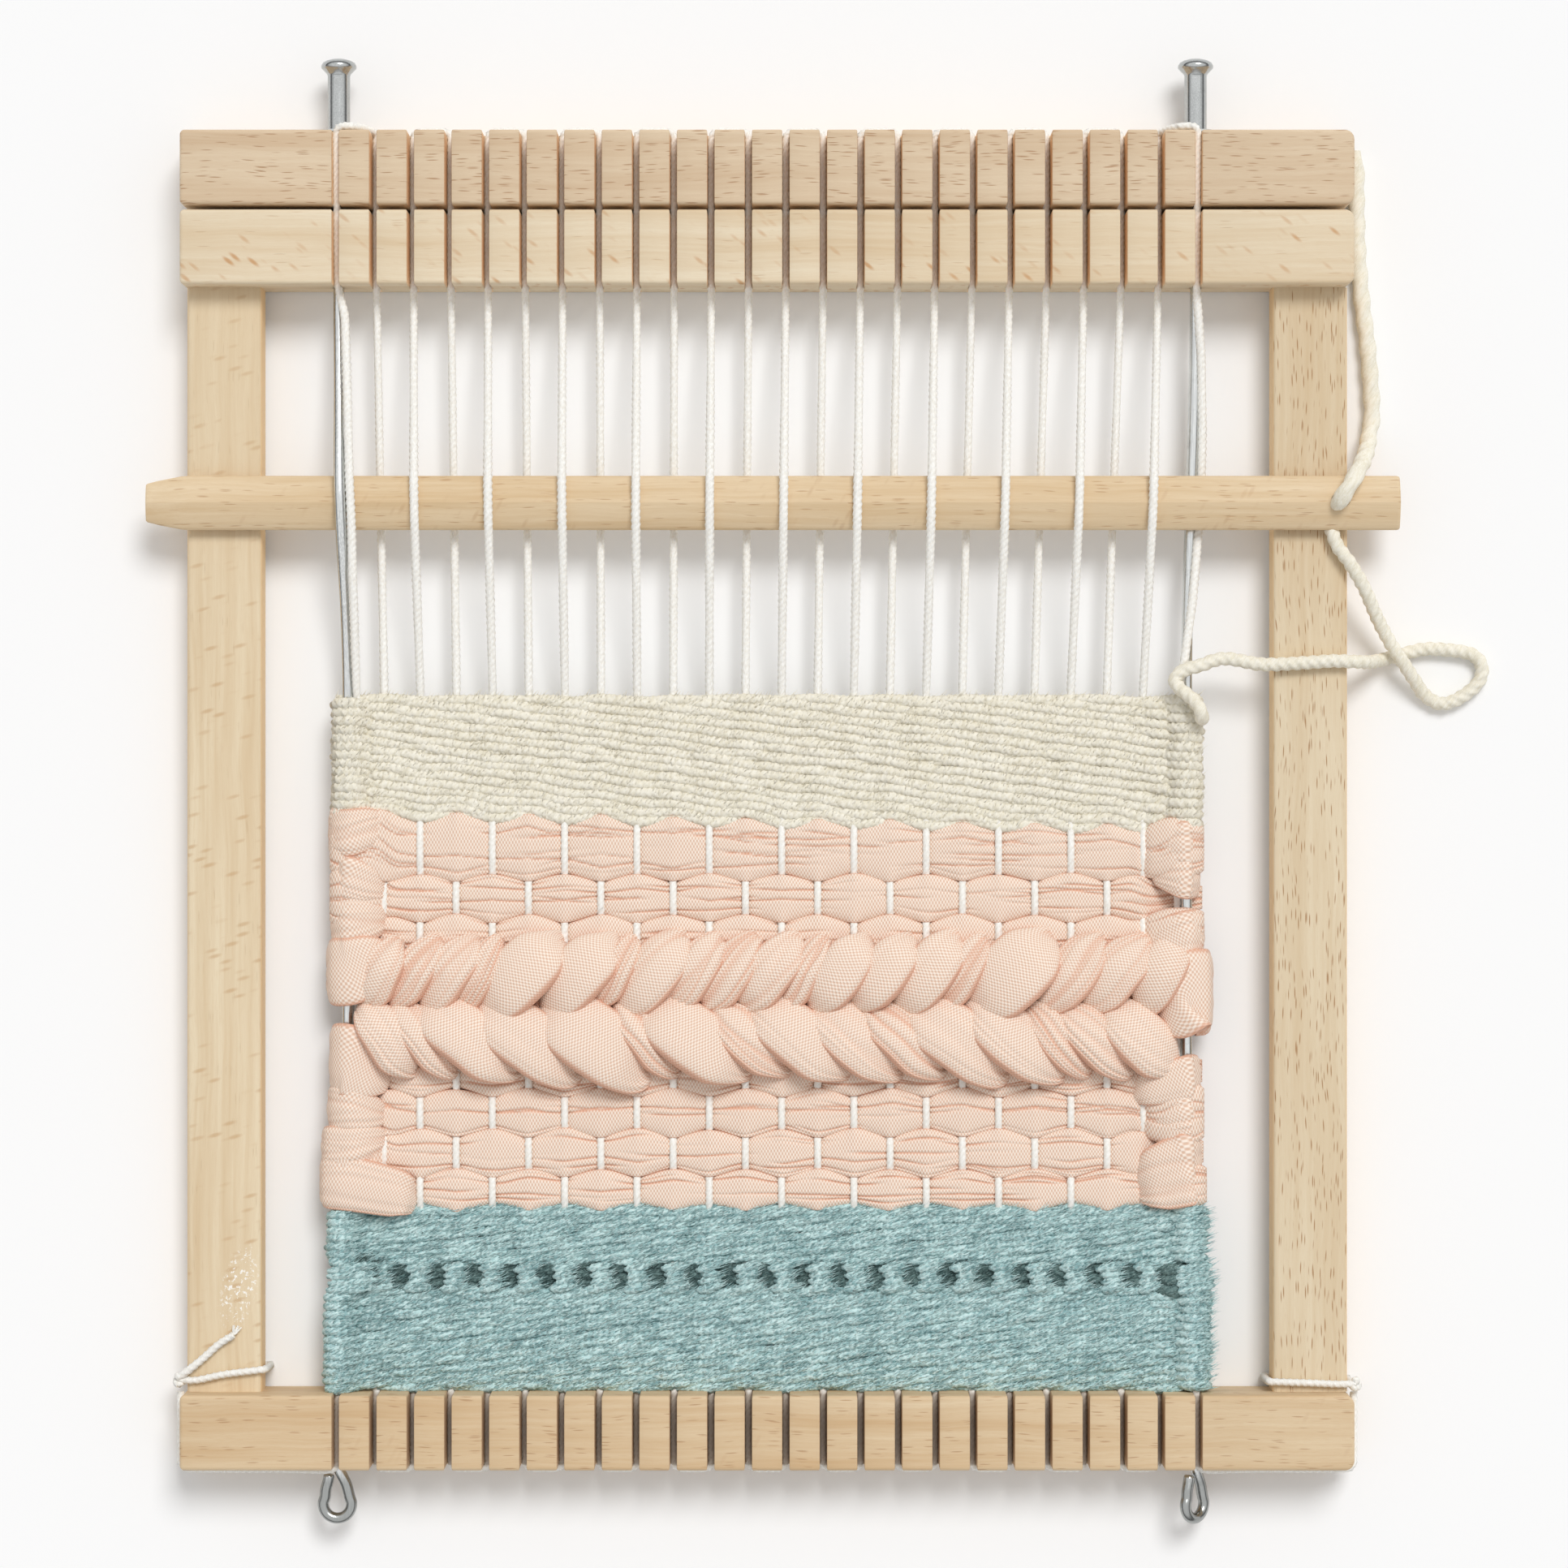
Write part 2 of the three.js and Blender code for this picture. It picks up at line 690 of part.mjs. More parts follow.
// A ribbon row in plain weave. It passes over every second warp run and under the others, and
// swells where it is over, so that neighbouring rows lie together like fish scales.
function ribbonGeometry(y0, y1, overOdd, lowerWaves, upperWaves) {
  const lift = warpRadius + tunnelClearance + ribbonThickness / 2;
  const swing = (x) => Math.cos((Math.PI * (x + edgeX)) / kerfPitch) * (overOdd ? -1 : 1);
  const ring = (x, middle, thickness) => {
    const top = y1 + (upperWaves ? ribbonScallop * swing(x) : 0);
    const bottom = y0 - (lowerWaves ? ribbonScallop * swing(x) : 0);
    const centre = (top + bottom) / 2;
    const half = (top - bottom) / 2;
    return [
      [centre + half, 0],
      [centre + ribbonFlatShare * half, thickness / 2],
      [centre - ribbonFlatShare * half, thickness / 2],
      [centre - half, 0],
      [centre - ribbonFlatShare * half, -thickness / 2],
      [centre + ribbonFlatShare * half, -thickness / 2],
    ].map(([y, z]) => at(x, y, middle + z));
  };
  const turnedEdge = (side) =>
    ribbonSelvedge.map(([out, thick]) =>
      ring(side * (edgeX + out * clothEdge), rodZ + selvedgeLift, thick * selvedgeThickness),
    );
  const rings = turnedEdge(-1);
  const halfPitches = 2 * (kerfCount - 1);
  for (let k = 1; k < halfPitches; k++) {
    const x = (k * kerfPitch) / 2 - edgeX;
    rings.push(ring(x, warpZ + lift * swing(x), ribbonThickness));
  }
  rings.push(...turnedEdge(1).reverse());
  return cut(loft(rings), edgeTunnels(y0 - ribbonScallop, y1 + ribbonScallop));
}

// A soumak row: ribbon wrapped along the face of the warp, in lobes that lean to one side.
function soumakGeometry(y0, y1, lean) {
  const back = warpZ + warpRadius + tunnelClearance;
  const middle = back + soumakDepth / 2;
  const centre = (y0 + y1) / 2;
  const halfHeight = (y1 - y0) / 2;
  const reach = edgeX + clothEdge;
  const lobeLength = (2 * reach) / lobeCount;
  const sides = 8;
  const ring = (x, share, slant) =>
    Array.from({ length: sides }, (_, s) => {
      const angle = ((s + 0.5) / sides) * 2 * Math.PI;
      const y = share * halfHeight * Math.cos(angle);
      const z = (share * soumakDepth * Math.sin(angle)) / 2;
      return at(x + slant * y, centre + y, middle + z);
    });
  const rings = [ring(-reach, lobeEndShare, 0)];
  const steps = 3;
  for (let k = 1; k < steps * lobeCount; k++) {
    const x = (k * lobeLength) / steps - reach;
    const share = lobePinch + (1 - lobePinch) * Math.abs(Math.sin((Math.PI * k) / steps));
    const nearEnd = Math.min(k, steps * lobeCount - k) / steps;
    rings.push(ring(x, share, lean * lobeSlant * Math.min(nearEnd, 1)));
  }
  rings.push(ring(reach, lobeEndShare, 0));
  return cut(loft(rings), edgeTunnels(y0, y1));
}

let bandBottom = clothBottom;
bands.forEach((band, k) => {
  const y0 = bandBottom + bandGap / 2;
  const y1 = bandBottom + band.height - bandGap / 2;
  const below = bands[k - 1];
  const above = bands[k + 1];
  if (band.kind === "wool") {
    loom.add(named(band.name, woolGeometry(y0, y1), material(band.colour, 0.95)));
  } else if (band.kind === "ribbon") {
    const geometry = ribbonGeometry(y0, y1, band.overOdd, below.kind === "ribbon", above.kind === "ribbon");
    loom.add(named(band.name, geometry, ribbonKnit()));
  } else {
    const lower = below.kind === "ribbon" ? y0 - soumakOverhang : y0;
    const upper = above.kind === "ribbon" ? y1 + soumakOverhang : y1;
    loom.add(named(band.name, soumakGeometry(lower, upper, band.slant), ribbonKnit()));
  }
  bandBottom += band.height;
});

// The free weft yarn, from the cloth's upper right corner over the stile, round a loop on the
// table and back to the needle's lower edge.
const yarnRoute = [
  [116, 190.4, 16.2],
  [116, 190.6, 17.8],
  [115.4, 192.6, 19],
  [113.4, 195.6, 18.3],
  [110.2, 198.4, 16.8],
  [109, 200.8, 16],
  [111.2, 203.2, 16],
  [115.8, 204.6, 16.2],
  [122.3, 206.4, 15.6],
  [132.3, 204.9, 14.8],
  [142.3, 205.2, 14.5],
  [151.2, 205.8, 14.5],
  [157.5, 205.6, 13.6],
  [161.6, 205.6, 9.4],
  [165.4, 206.3, 4.6],
  [169.8, 207.4, 2.2],
  [177.3, 209.3, 1.9],
  [184.1, 209.1, 1.9],
  [190.3, 208, 1.9],
  [193.1, 204.9, 1.9],
  [192.3, 200.5, 1.9],
  [187.6, 196.4, 1.9],
  [182.4, 194.6, 1.9],
  [177.8, 196.8, 2.2],
  [174.2, 201.4, 4.6],
  [170.6, 206.4, 6.9],
  [167.3, 211.4, 7.6],
  [163.8, 217.5, 9.6],
  [159.8, 225.5, 13.2],
  [155.8, 232, 14.8],
  [152.6, 236.4, 14.6],
  [151.3, 239.9, 14.5],
];

// The doubled end of the yarn, from the needle's eye down to the table and up past the bars.
const yarnTailRoute = [
  [152.3, 248, 15.6],
  [152.3, 248, 18.5],
  [152.5, 248.4, 20.4],
  [153.6, 250.2, 21.6],
  [155.4, 253, 21.4],
  [157.7, 256.8, 19.4],
  [159.8, 260.2, 14],
  [161.5, 263.8, 7.6],
  [162.6, 268, 3.3],
  [163.4, 274, 2.4],
  [162.3, 290, 2.4],
  [160.7, 303, 2.4],
  [159.5, 318, 2.4],
  [159.2, 332, 2.4],
  [159.1, 344, 2.4],
];

// A yarn: a round section drawn along a smooth curve through its route.
function yarnGeometry(route, diameter, steps) {
  const section = new THREE.Shape();
  for (let s = 0; s < yarnSides; s++) {
    const angle = ((s + 0.5) / yarnSides) * 2 * Math.PI;
    const corner = [(diameter / 2) * Math.cos(angle), (diameter / 2) * Math.sin(angle)];
    if (s === 0) {
      section.moveTo(...corner);
    } else {
      section.lineTo(...corner);
    }
  }
  const path = new THREE.CatmullRomCurve3(route.map((place) => at(...place)), false, "centripetal");
  return new THREE.ExtrudeGeometry(section, { steps, bevelEnabled: false, extrudePath: path });
}
loom.add(named("weft_yarn_loop", yarnGeometry(yarnRoute, yarnDiameter, loopSteps), ivoryWool()));
loom.add(named("weft_yarn_tail", yarnGeometry(yarnTailRoute, yarnTailDiameter, tailSteps), ivoryWool()));

export default loom;
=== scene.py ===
import math
from contextlib import contextmanager

import bmesh
import bpy
import numpy as np
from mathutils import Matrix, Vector, noise


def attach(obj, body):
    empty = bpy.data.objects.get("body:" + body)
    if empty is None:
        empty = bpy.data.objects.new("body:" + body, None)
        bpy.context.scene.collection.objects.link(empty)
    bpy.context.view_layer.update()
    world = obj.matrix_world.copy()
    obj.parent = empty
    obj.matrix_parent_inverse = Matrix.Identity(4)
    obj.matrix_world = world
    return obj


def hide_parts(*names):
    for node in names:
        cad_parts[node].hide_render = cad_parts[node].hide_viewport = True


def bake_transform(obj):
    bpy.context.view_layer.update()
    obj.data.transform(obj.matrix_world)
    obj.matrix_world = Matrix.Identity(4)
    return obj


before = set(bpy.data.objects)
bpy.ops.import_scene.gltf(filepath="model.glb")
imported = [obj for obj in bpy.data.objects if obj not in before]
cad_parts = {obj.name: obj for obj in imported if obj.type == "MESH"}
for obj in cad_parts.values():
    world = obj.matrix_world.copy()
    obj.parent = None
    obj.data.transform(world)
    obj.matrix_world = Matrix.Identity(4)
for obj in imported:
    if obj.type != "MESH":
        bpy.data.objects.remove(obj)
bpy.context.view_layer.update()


# Camera. It looks straight down on the loom lying on a table, with the top bar
# at the top of the picture.
scene = bpy.context.scene


def placed(name, data):
    """A new object at the origin that shows this mesh, lamp or camera."""
    made = bpy.data.objects.new(name, data)
    scene.collection.objects.link(made)
    return made


camera = placed("camera", bpy.data.cameras.new("camera"))
camera.location = (0.0045, 0.1729, 1.183)
camera.data.sensor_width = 36.0
camera.data.lens = 100.3
camera.data.clip_start = 0.05
scene.camera = camera
scene.view_settings.view_transform = "Standard"


def rgb(red, green, blue):
    """A colour as a paint chart gives it, 0 to 255, for a node's socket."""
    shares = [c / 255 for c in (red, green, blue)]
    return (*(s / 12.92 if s <= 0.04045 else ((s + 0.055) / 1.055) ** 2.4 for s in shares), 1.0)


class Reading:
    """A value that flows through a node tree, so that sums on it are written as sums."""

    def __init__(self, tree, socket):
        self.tree = tree
        self.socket = socket

    def math(self, operation, *others):
        return self.tree.node("ShaderNodeMath", {"operation": operation}, dict(enumerate((self, *others))))

    def away_from_zero(self):
        return self.math("ABSOLUTE")

    def __add__(self, other):
        return self.math("ADD", other)

    __radd__ = __add__

    def __mul__(self, other):
        return self.math("MULTIPLY", other)

    __rmul__ = __mul__

    def __sub__(self, other):
        return self.math("SUBTRACT", other)

    def __rsub__(self, other):
        return (self * -1) + other

    def __truediv__(self, other):
        return self.math("DIVIDE", other)

    def between(self, low, high):
        """0 below low, 1 above high, and smooth between them."""
        return self.tree.node(
            "ShaderNodeMapRange",
            {"interpolation_type": "SMOOTHSTEP"},
            {"Value": self, "From Min": low, "From Max": high},
        )


class Tree:
    """A node tree under construction: one method adds any node to it."""

    def __init__(self, nodes):
        self.nodes = nodes.nodes
        self.links = nodes.links

    def node(self, kind, settings=None, inputs=None, output=0):
        made = self.nodes.new(kind)
        for key, value in (settings or {}).items():
            setattr(made, key, value)
        for key, value in (inputs or {}).items():
            if isinstance(value, Reading):
                self.links.new(value.socket, made.inputs[key])
            else:
                made.inputs[key].default_value = value
        return Reading(self, made.outputs[output]) if made.outputs else None

    def mix(self, share, one, other):
        return self.node("ShaderNodeMix", {"data_type": "RGBA"}, {0: share, 6: one, 7: other}, output=2)

    def vector(self, operation, one, other=None, output=0):
        inputs = {0: one} if other is None else {0: one, 1: other}
        return self.node("ShaderNodeVectorMath", {"operation": operation}, inputs, output)

    def axes(self, vector):
        return [self.node("ShaderNodeSeparateXYZ", None, {0: vector}, k) for k in range(3)]

    def point(self, x, y, z):
        return self.node("ShaderNodeCombineXYZ", None, {0: x, 1: y, 2: z})

    def noise(self, vector, detail=2.0, scale=1.0, roughness=0.5):
        return self.node(
            "ShaderNodeTexNoise",
            None,
            {"Vector": vector, "Scale": scale, "Detail": detail, "Roughness": roughness},
        )

    def cells(self, vector, output=0):
        return self.node("ShaderNodeTexVoronoi", None, {"Vector": vector, "Scale": 1.0}, output)


class Finish(Tree):
    """A piece's material, with its place on the object in millimetres at hand."""

    def __init__(self, name):
        self.material = bpy.data.materials.new(name)
        self.material.use_nodes = True
        super().__init__(self.material.node_tree)
        self.nodes.clear()
        place = self.node("ShaderNodeTexCoord", output="Object")
        self.place = self.vector("SCALE", place)
        self.place.socket.node.inputs["Scale"].default_value = 1000.0

    def surface(self, height=None, rise=0.0, **inputs):
        """The shader itself, with a bump of that rise in millimetres where a height is given."""
        wanted = {key.replace("_", " "): value for key, value in inputs.items()}
        if height is not None:
            wanted["Normal"] = self.node(
                "ShaderNodeBump", None, {"Height": height, "Distance": rise / 1000, "Strength": 1.0}
            )
        shader = self.node("ShaderNodeBsdfPrincipled", None, wanted)
        self.node("ShaderNodeOutputMaterial", None, {"Surface": shader})
        return self.material


# Table and light. A plain pale table, an even white room and one wide lamp above
# and beyond the top bar.
table_half = 4
table_level = -0.0004
table_corners = [(a * table_half, b * table_half) for a, b in ((-1, -1), (1, -1), (1, 1), (-1, 1))]
table = placed("table", bpy.data.meshes.new("table"))
table.data.from_pydata([(x, y, table_level) for x, y in table_corners], [], [(0, 1, 2, 3)])
table_paint = Finish("table_paint")
table.data.materials.append(
    table_paint.surface(Base_Color=(0.975, 0.975, 0.975, 1.0), Roughness=1.0, Specular_IOR_Level=0.0)
)
scene.world = bpy.data.worlds.new("room")
scene.world.use_nodes = True
room = Tree(scene.world.node_tree)
room.nodes.clear()
rays = room.nodes.new("ShaderNodeLightPath")
seen = Reading(room, rays.outputs["Is Camera Ray"]) + Reading(room, rays.outputs["Is Transmission Ray"])
mirrored = Reading(room, rays.outputs["Is Glossy Ray"])
upward = room.axes(room.node("ShaderNodeTexCoord", output="Generated"))[2]
room_seen_in_metal = upward.between(0.1, 0.7) * 0.9 + 0.12
brightness = (1 - seen) * (1 - mirrored) * 0.56 + seen + mirrored * room_seen_in_metal
room.node(
    "ShaderNodeOutputWorld",
    None,
    {"Surface": room.node("ShaderNodeBackground", None, {"Color": (1, 1, 1, 1), "Strength": brightness})},
)
lamp = placed("lamp", bpy.data.lights.new("lamp", "SUN"))
lamp.data.energy = 1.62
lamp.data.angle = math.radians(24)
lamp.rotation_euler = Vector((0.26, 0.62, 1.0)).to_track_quat("Z", "Y").to_euler()


# Beech bars. Three square strips, with saw kerfs across the front for the warp and a
# long hole through the bar for each edge rod. The loose top bar is pinker than the others.
bar_length = 0.313
bar_side = 0.020
bar_ease = 0.001
left_corner = 0.0013
right_corner = 0.0026
kerf_count = 24
kerf_pitch = 0.010
kerf_width = 0.0019
kerf_floor = 0.008
kerf_ease = 0.0003
kerf_flare = 0.3
rod_radius = 0.0015
rod_hole = 0.00165
rod_level = 0.010
edge_x = (kerf_count - 1) * kerf_pitch / 2


@contextmanager
def edited(mesh):
    """A mesh open for editing, written back at the end."""
    work = bmesh.new()
    work.from_mesh(mesh)
    yield work
    work.to_mesh(mesh)
    work.free()


def make_mesh(name, points, faces):
    """A mesh object at the origin, with its faces turned outward."""
    mesh = bpy.data.meshes.new(name)
    mesh.from_pydata([tuple(p) for p in points], [], faces)
    with edited(mesh) as work:
        bmesh.ops.remove_doubles(work, verts=work.verts, dist=1e-7)
        many_sided = [face for face in work.faces if len(face.verts) > 4]
        bmesh.ops.triangulate(work, faces=many_sided, ngon_method="EAR_CLIP")
        bmesh.ops.recalc_face_normals(work, faces=work.faces)
    return placed(name, mesh)


def soften(made, degrees):
    """Smooth shading, broken where two faces meet at more than this angle."""
    made.data.shade_smooth()
    with edited(made.data) as work:
        for edge in work.edges:
            if len(edge.link_faces) == 2 and edge.calc_face_angle(0.0) > math.radians(degrees):
                edge.smooth = False


def computed(made):
    """The mesh that an object's modifiers come to."""
    bpy.context.view_layer.update()
    return bpy.data.meshes.new_from_object(made.evaluated_get(bpy.context.evaluated_depsgraph_get()))


def skin(rings, closed_ends=True):
    """Points and faces of a skin over rings that each have the same number of points."""
    rings = np.asarray(rings, float)
    count, sides = rings.shape[:2]
    faces = []
    for r in range(count - 1):
        for s in range(sides):
            a, b = r * sides + s, r * sides + (s + 1) % sides
            faces.append((a, b, b + sides, a + sides))
    if closed_ends:
        faces.append(tuple(range(sides))[::-1])
        faces.append(tuple(range((count - 1) * sides, count * sides)))
    return rings.reshape(-1, 3), faces


def fit(made, body, slot, *nodes):
    """The piece rides on its body and stands for its CAD nodes, which it hides. Its slot is not used."""
    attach(made, body)
    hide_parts(*nodes)


def quarter(radius, steps=4):
    """A rounded corner: pairs of (along, inset) that ease from one face into the next."""
    turns = [k / steps * math.pi / 2 for k in range(steps + 1)]
    return [(radius * (1 - math.cos(t)), radius * (1 - math.sin(t))) for t in turns]


def eased_section(x0, x1, z0, z1, ease, steps, kerfs=()):
    """A rectangle seen along Y with rounded corners. Kerfs are cut into its front from right to left."""
    corner = quarter(ease, steps)
    line = [(x0 + b, z0 + a) for a, b in corner][::-1]
    line += [(x1 - b, z0 + a) for a, b in corner]
    line += [(x1 - b, z1 - a) for a, b in corner][::-1]
    return [*line, *kerfs, *[(x0 + b, z1 - a) for a, b in corner]]


def bar_outline(inset_left, inset_right, inset):
    """The bar's outline as seen along Y, kerfs and rod holes with it, drawn in near its faces."""
    top = bar_side - inset
    kerfs = []
    spread = kerf_flare * inset
    wall = kerf_width / 2 + spread
    for i in reversed(range(kerf_count)):
        x = i * kerf_pitch - edge_x
        side = [(kerf_ease + wall, top)]
        side += [(0.3 * kerf_ease + wall, top - 0.3 * kerf_ease), (wall, top - kerf_ease)]
        if i in (0, kerf_count - 1):
            hole = rod_hole + spread
            start = math.asin(min(wall / hole, 1.0))
            for k in range(9):
                angle = start + (math.pi - 2 * start) * k / 8
                side.append((hole * math.sin(angle), rod_level + hole * math.cos(angle)))
        side.append((wall, kerf_floor - spread))
        kerfs += [(x + a, z) for a, z in side]
        kerfs += [(x - a, z) for a, z in side[::-1]]
    left, right = inset_left - bar_length / 2, bar_length / 2 - inset_right
    return eased_section(left, right, inset, top, max(bar_ease - inset, 0.0002), 3, kerfs)


def drawn_in(depth, radius):
    """How far a rounded corner stands back at a depth below the face beside it."""
    return radius - math.sqrt(max(radius**2 - max(radius - depth, 0.0) ** 2, 0.0))


def bar_mesh(name, bottom):
    """A bar as outlines laid one above the other, close together where its edges are rounded."""
    steps = sorted({*(a for a, _ in quarter(bar_ease, 4)), *(a for a, _ in quarter(right_corner, 6)), 0.0})
    plain = [0.35 * bar_side, 0.5 * bar_side, 0.65 * bar_side]
    rings = []
    for y in [*steps, *plain, *[bar_side - a for a in steps[::-1]]]:
        depth = min(y, bar_side - y)
        insets = [drawn_in(depth, radius) for radius in (left_corner, right_corner, bar_ease)]
        rings.append([(x, bottom + y, z) for x, z in bar_outline(*insets)])
    made = make_mesh(name, *skin(rings))
    soften(made, 40)
    return made


def beech(
    name, grain, pale, warm, fleck, dashes, crowd, figure, cover, slant, shift, kerfs=False, chalk=False
):
    """Planed beech: broad tones, fine fibres, dark dashes along the grain and silky flecks across it.
    Dashes and figure are how strongly the two show. Crowd is the share of places that have a dash,
    cover is how widely the flecks spread, slant their angle and shift the place in the board."""
    wood = Finish(name)
    x, y, z = wood.axes(wood.place)
    along, across = (x, y) if grain == "x" else (y, x)
    along = along + shift
    waver = wood.noise(wood.point(along * 0.02, across * 0.05, z * 0.05)) * 5.0
    side = across + waver
    broad = wood.noise(wood.point(along * 0.008, side * 0.16, z * 0.16), 3.0)
    streak = wood.noise(wood.point(along * 0.03, side * 1.1, z * 1.1), 3.0)
    fibre = wood.noise(wood.point(along * 0.35, side * 6.0, z * 6.0), 2.0)
    tone = wood.mix((broad - 0.5) * 1.8 + (streak - 0.5) * 0.9 + 0.5, pale, warm)
    tone = wood.mix(fibre.between(0.45, 0.8) * 0.35, tone, warm)
    dash_place = wood.point(along * 0.15 + across * 0.03, side * 1.9, z * 0.6)
    dash = 1 - wood.cells(dash_place).between(0.14, 0.34)
    chosen = wood.axes(wood.cells(dash_place, "Color"))[0].between(0.95 - crowd, 1.15 - crowd)
    tone = wood.mix(dash * chosen * dashes, tone, fleck)
    turn = math.radians(slant)
    run = along * math.cos(turn) + across * math.sin(turn)
    width = across * math.cos(turn) - along * math.sin(turn)
    ray_place = wood.point(run * 0.15 + waver * 0.04, width * 0.5, z * 0.3)
    ray = 1 - wood.cells(ray_place).between(0.1, 0.4)
    ray = ray * wood.axes(wood.cells(ray_place, "Color"))[1].between(0.3, 0.8)
    patch = wood.noise(wood.point(along * 0.02 + 7.0, across * 0.07, z * 0.05))
    patch = patch.between(0.5 - cover, 0.68 - cover)
    tone = wood.mix(ray * patch * figure, tone, fleck)
    if chalk:
        chalk_x, chalk_y, chalk_slant = 141.5, 38.0, 0.8
        spot = wood.noise(wood.point(x * 0.9, y * 0.7, 3.0), 4.0, 1.0, 0.75).between(0.55, 0.6)
        off_x = (x + chalk_x) / 6.0
        off_y = (y - chalk_y - x * chalk_slant - chalk_slant * chalk_x) / 12.0
        cluster = 1 - (off_x * off_x + off_y * off_y).between(0.35, 1.0)
        tone = wood.mix(y.between(190.0, 300.0) * 0.4, tone, warm)
        tone = wood.mix(spot * cluster * 0.9, tone, rgb(255, 253, 248))
    # Painted light and shade inside the kerfs: a light tint lifts their shade in the top bars, and a darker
    # one deepens it in the bottom bar.
    if kerfs:
        slot = ((x + 1000 * edge_x) / (1000 * kerf_pitch) + 0.5).math("FRACT") - 0.5
        in_kerf = 1 - (slot.away_from_zero() * 1000 * kerf_pitch).between(0.95, 1.12)
        in_row = 1 - x.away_from_zero().between(1000 * edge_x + 1.5, 1000 * edge_x + 2.5)
        below = 1 - z.between(1000 * bar_side - 0.6, 1000 * bar_side - 0.15)
        kerf_light_and_shade = wood.mix(y.between(12.0, 14.0), rgb(204, 176, 144), rgb(244, 210, 170))
        tone = wood.mix(in_kerf * in_row * below * 0.9, tone, kerf_light_and_shade)
    # Painted light: both side faces of each stile are tinted warm and light, in place of the light they lack.
    if grain == "y":
        edge = (x.away_from_zero() - 1000 * stile_x).away_from_zero().between(9.5, 9.9)
        tone = wood.mix(edge * 0.85, tone, rgb(240, 204, 154))
    rough = 0.52 + streak * 0.16
    return wood.surface(
        height=fibre * 0.6 + streak * 0.4 - dash * chosen,
        rise=0.05,
        Base_Color=tone,
        Roughness=rough,
        Specular_IOR_Level=0.35,
    )


bars = {
    "bottom_bar": (-0.010, "frame", "beech_pale", dict(
        pale=rgb(226, 204, 170), warm=rgb(205, 172, 130), fleck=rgb(182, 140, 102),
        dashes=0.7, crowd=0.45, figure=0.15, cover=0.0, slant=62, shift=70.0,
    )),
    "fixed_top_bar": (0.306, "frame", "beech_pale", dict(
        pale=rgb(234, 219, 192), warm=rgb(217, 192, 156), fleck=rgb(203, 158, 112),
        dashes=0.25, crowd=0.2, figure=0.95, cover=0.14, slant=-38, shift=20.0,
    )),
    "top_bar": (0.32725, "top_bar", "beech_pink", dict(
        pale=rgb(226, 206, 177), warm=rgb(207, 179, 146), fleck=rgb(176, 134, 98),
        dashes=0.8, crowd=0.75, figure=0.0, cover=0.0, slant=62, shift=80.0,
    )),
}
for name, (bottom, body, slot, wood) in bars.items():
    bar = bar_mesh(name + "_sawn", bottom)
    bar.data.materials.append(beech(name + "_beech", "x", **wood, kerfs=True))
    fit(bar, body, slot, name)


# Stiles. Two flat beech strips, tenoned into the bars; their backs lie a little in front of
# the bars' backs, so that the warp's ends can be tied round them.
stile_x = 0.1455
stile_width = 0.020
stile_back = 0.00225
stile_front = 0.01225
stile_low = 0.010
stile_high = 0.306
stile_ease = 0.0012


def stile_mesh(name, x):
    """A planed strip along Y with eased long edges."""
    half = stile_width / 2
    section = eased_section(x - half, x + half, stile_back, stile_front, stile_ease, 4)
    rings = [[(x, y, z) for x, z in section] for y in np.linspace(stile_low, stile_high, 12)]
    made = make_mesh(name, *skin(rings))
    soften(made, 40)
    return made


stiles = {
    "left_stile": (-stile_x, dict(
        pale=rgb(236, 220, 190), warm=rgb(216, 191, 154), fleck=rgb(200, 164, 120),
        dashes=0.15, crowd=0.2, figure=0.6, cover=0.3, slant=74, shift=6.0,
    )),
    "right_stile": (stile_x, dict(
        pale=rgb(230, 214, 185), warm=rgb(212, 188, 152), fleck=rgb(172, 128, 86),
        dashes=0.9, crowd=0.8, figure=0.0, cover=0.0, slant=70, shift=40.0,
    )),
}
for name, (x, wood) in stiles.items():
    stile = stile_mesh(name + "_planed", x)
    stile.data.materials.append(beech(name + "_beech", "y", **wood, chalk=x < 0))
    fit(stile, "frame", "beech_pale", name)


# Edge rods. Bright drawn steel wire through both top bars and the bottom bar, bent to a
# drop-shaped eye at the foot. The cloth pulls them in a little; the left one passes over the needle.
rod_top = 0.35905
needle_y = 0.248
cloth_top = 0.1964
cloth_pull = 0.0024
rod_over_needle = 0.0102
rod_eye_radius = 0.0038
rod_eye_y = -0.0204


def smooth_step(value, low, high):
    t = np.clip((value - low) / (high - low), 0.0, 1.0)
    return t * t * (3 - 2 * t)


def through(points, steps):
    """A smooth curve through points: steps samples on each stretch."""
    p = np.asarray(points, float)
    p = np.vstack([2 * p[0] - p[1], p, 2 * p[-1] - p[-2]])
    made = []
    for k in range(1, len(p) - 2):
        for t in np.linspace(0, 1, steps, endpoint=False):
            a, b, c, d = p[k - 1 : k + 3]
            bend = (2 * a - 5 * b + 4 * c - d) * t**2
            twist = (3 * b - a - 3 * c + d) * t**3
            made.append(0.5 * (2 * b + (c - a) * t + bend + twist))
    made.append(p[-2])
    return np.array(made)


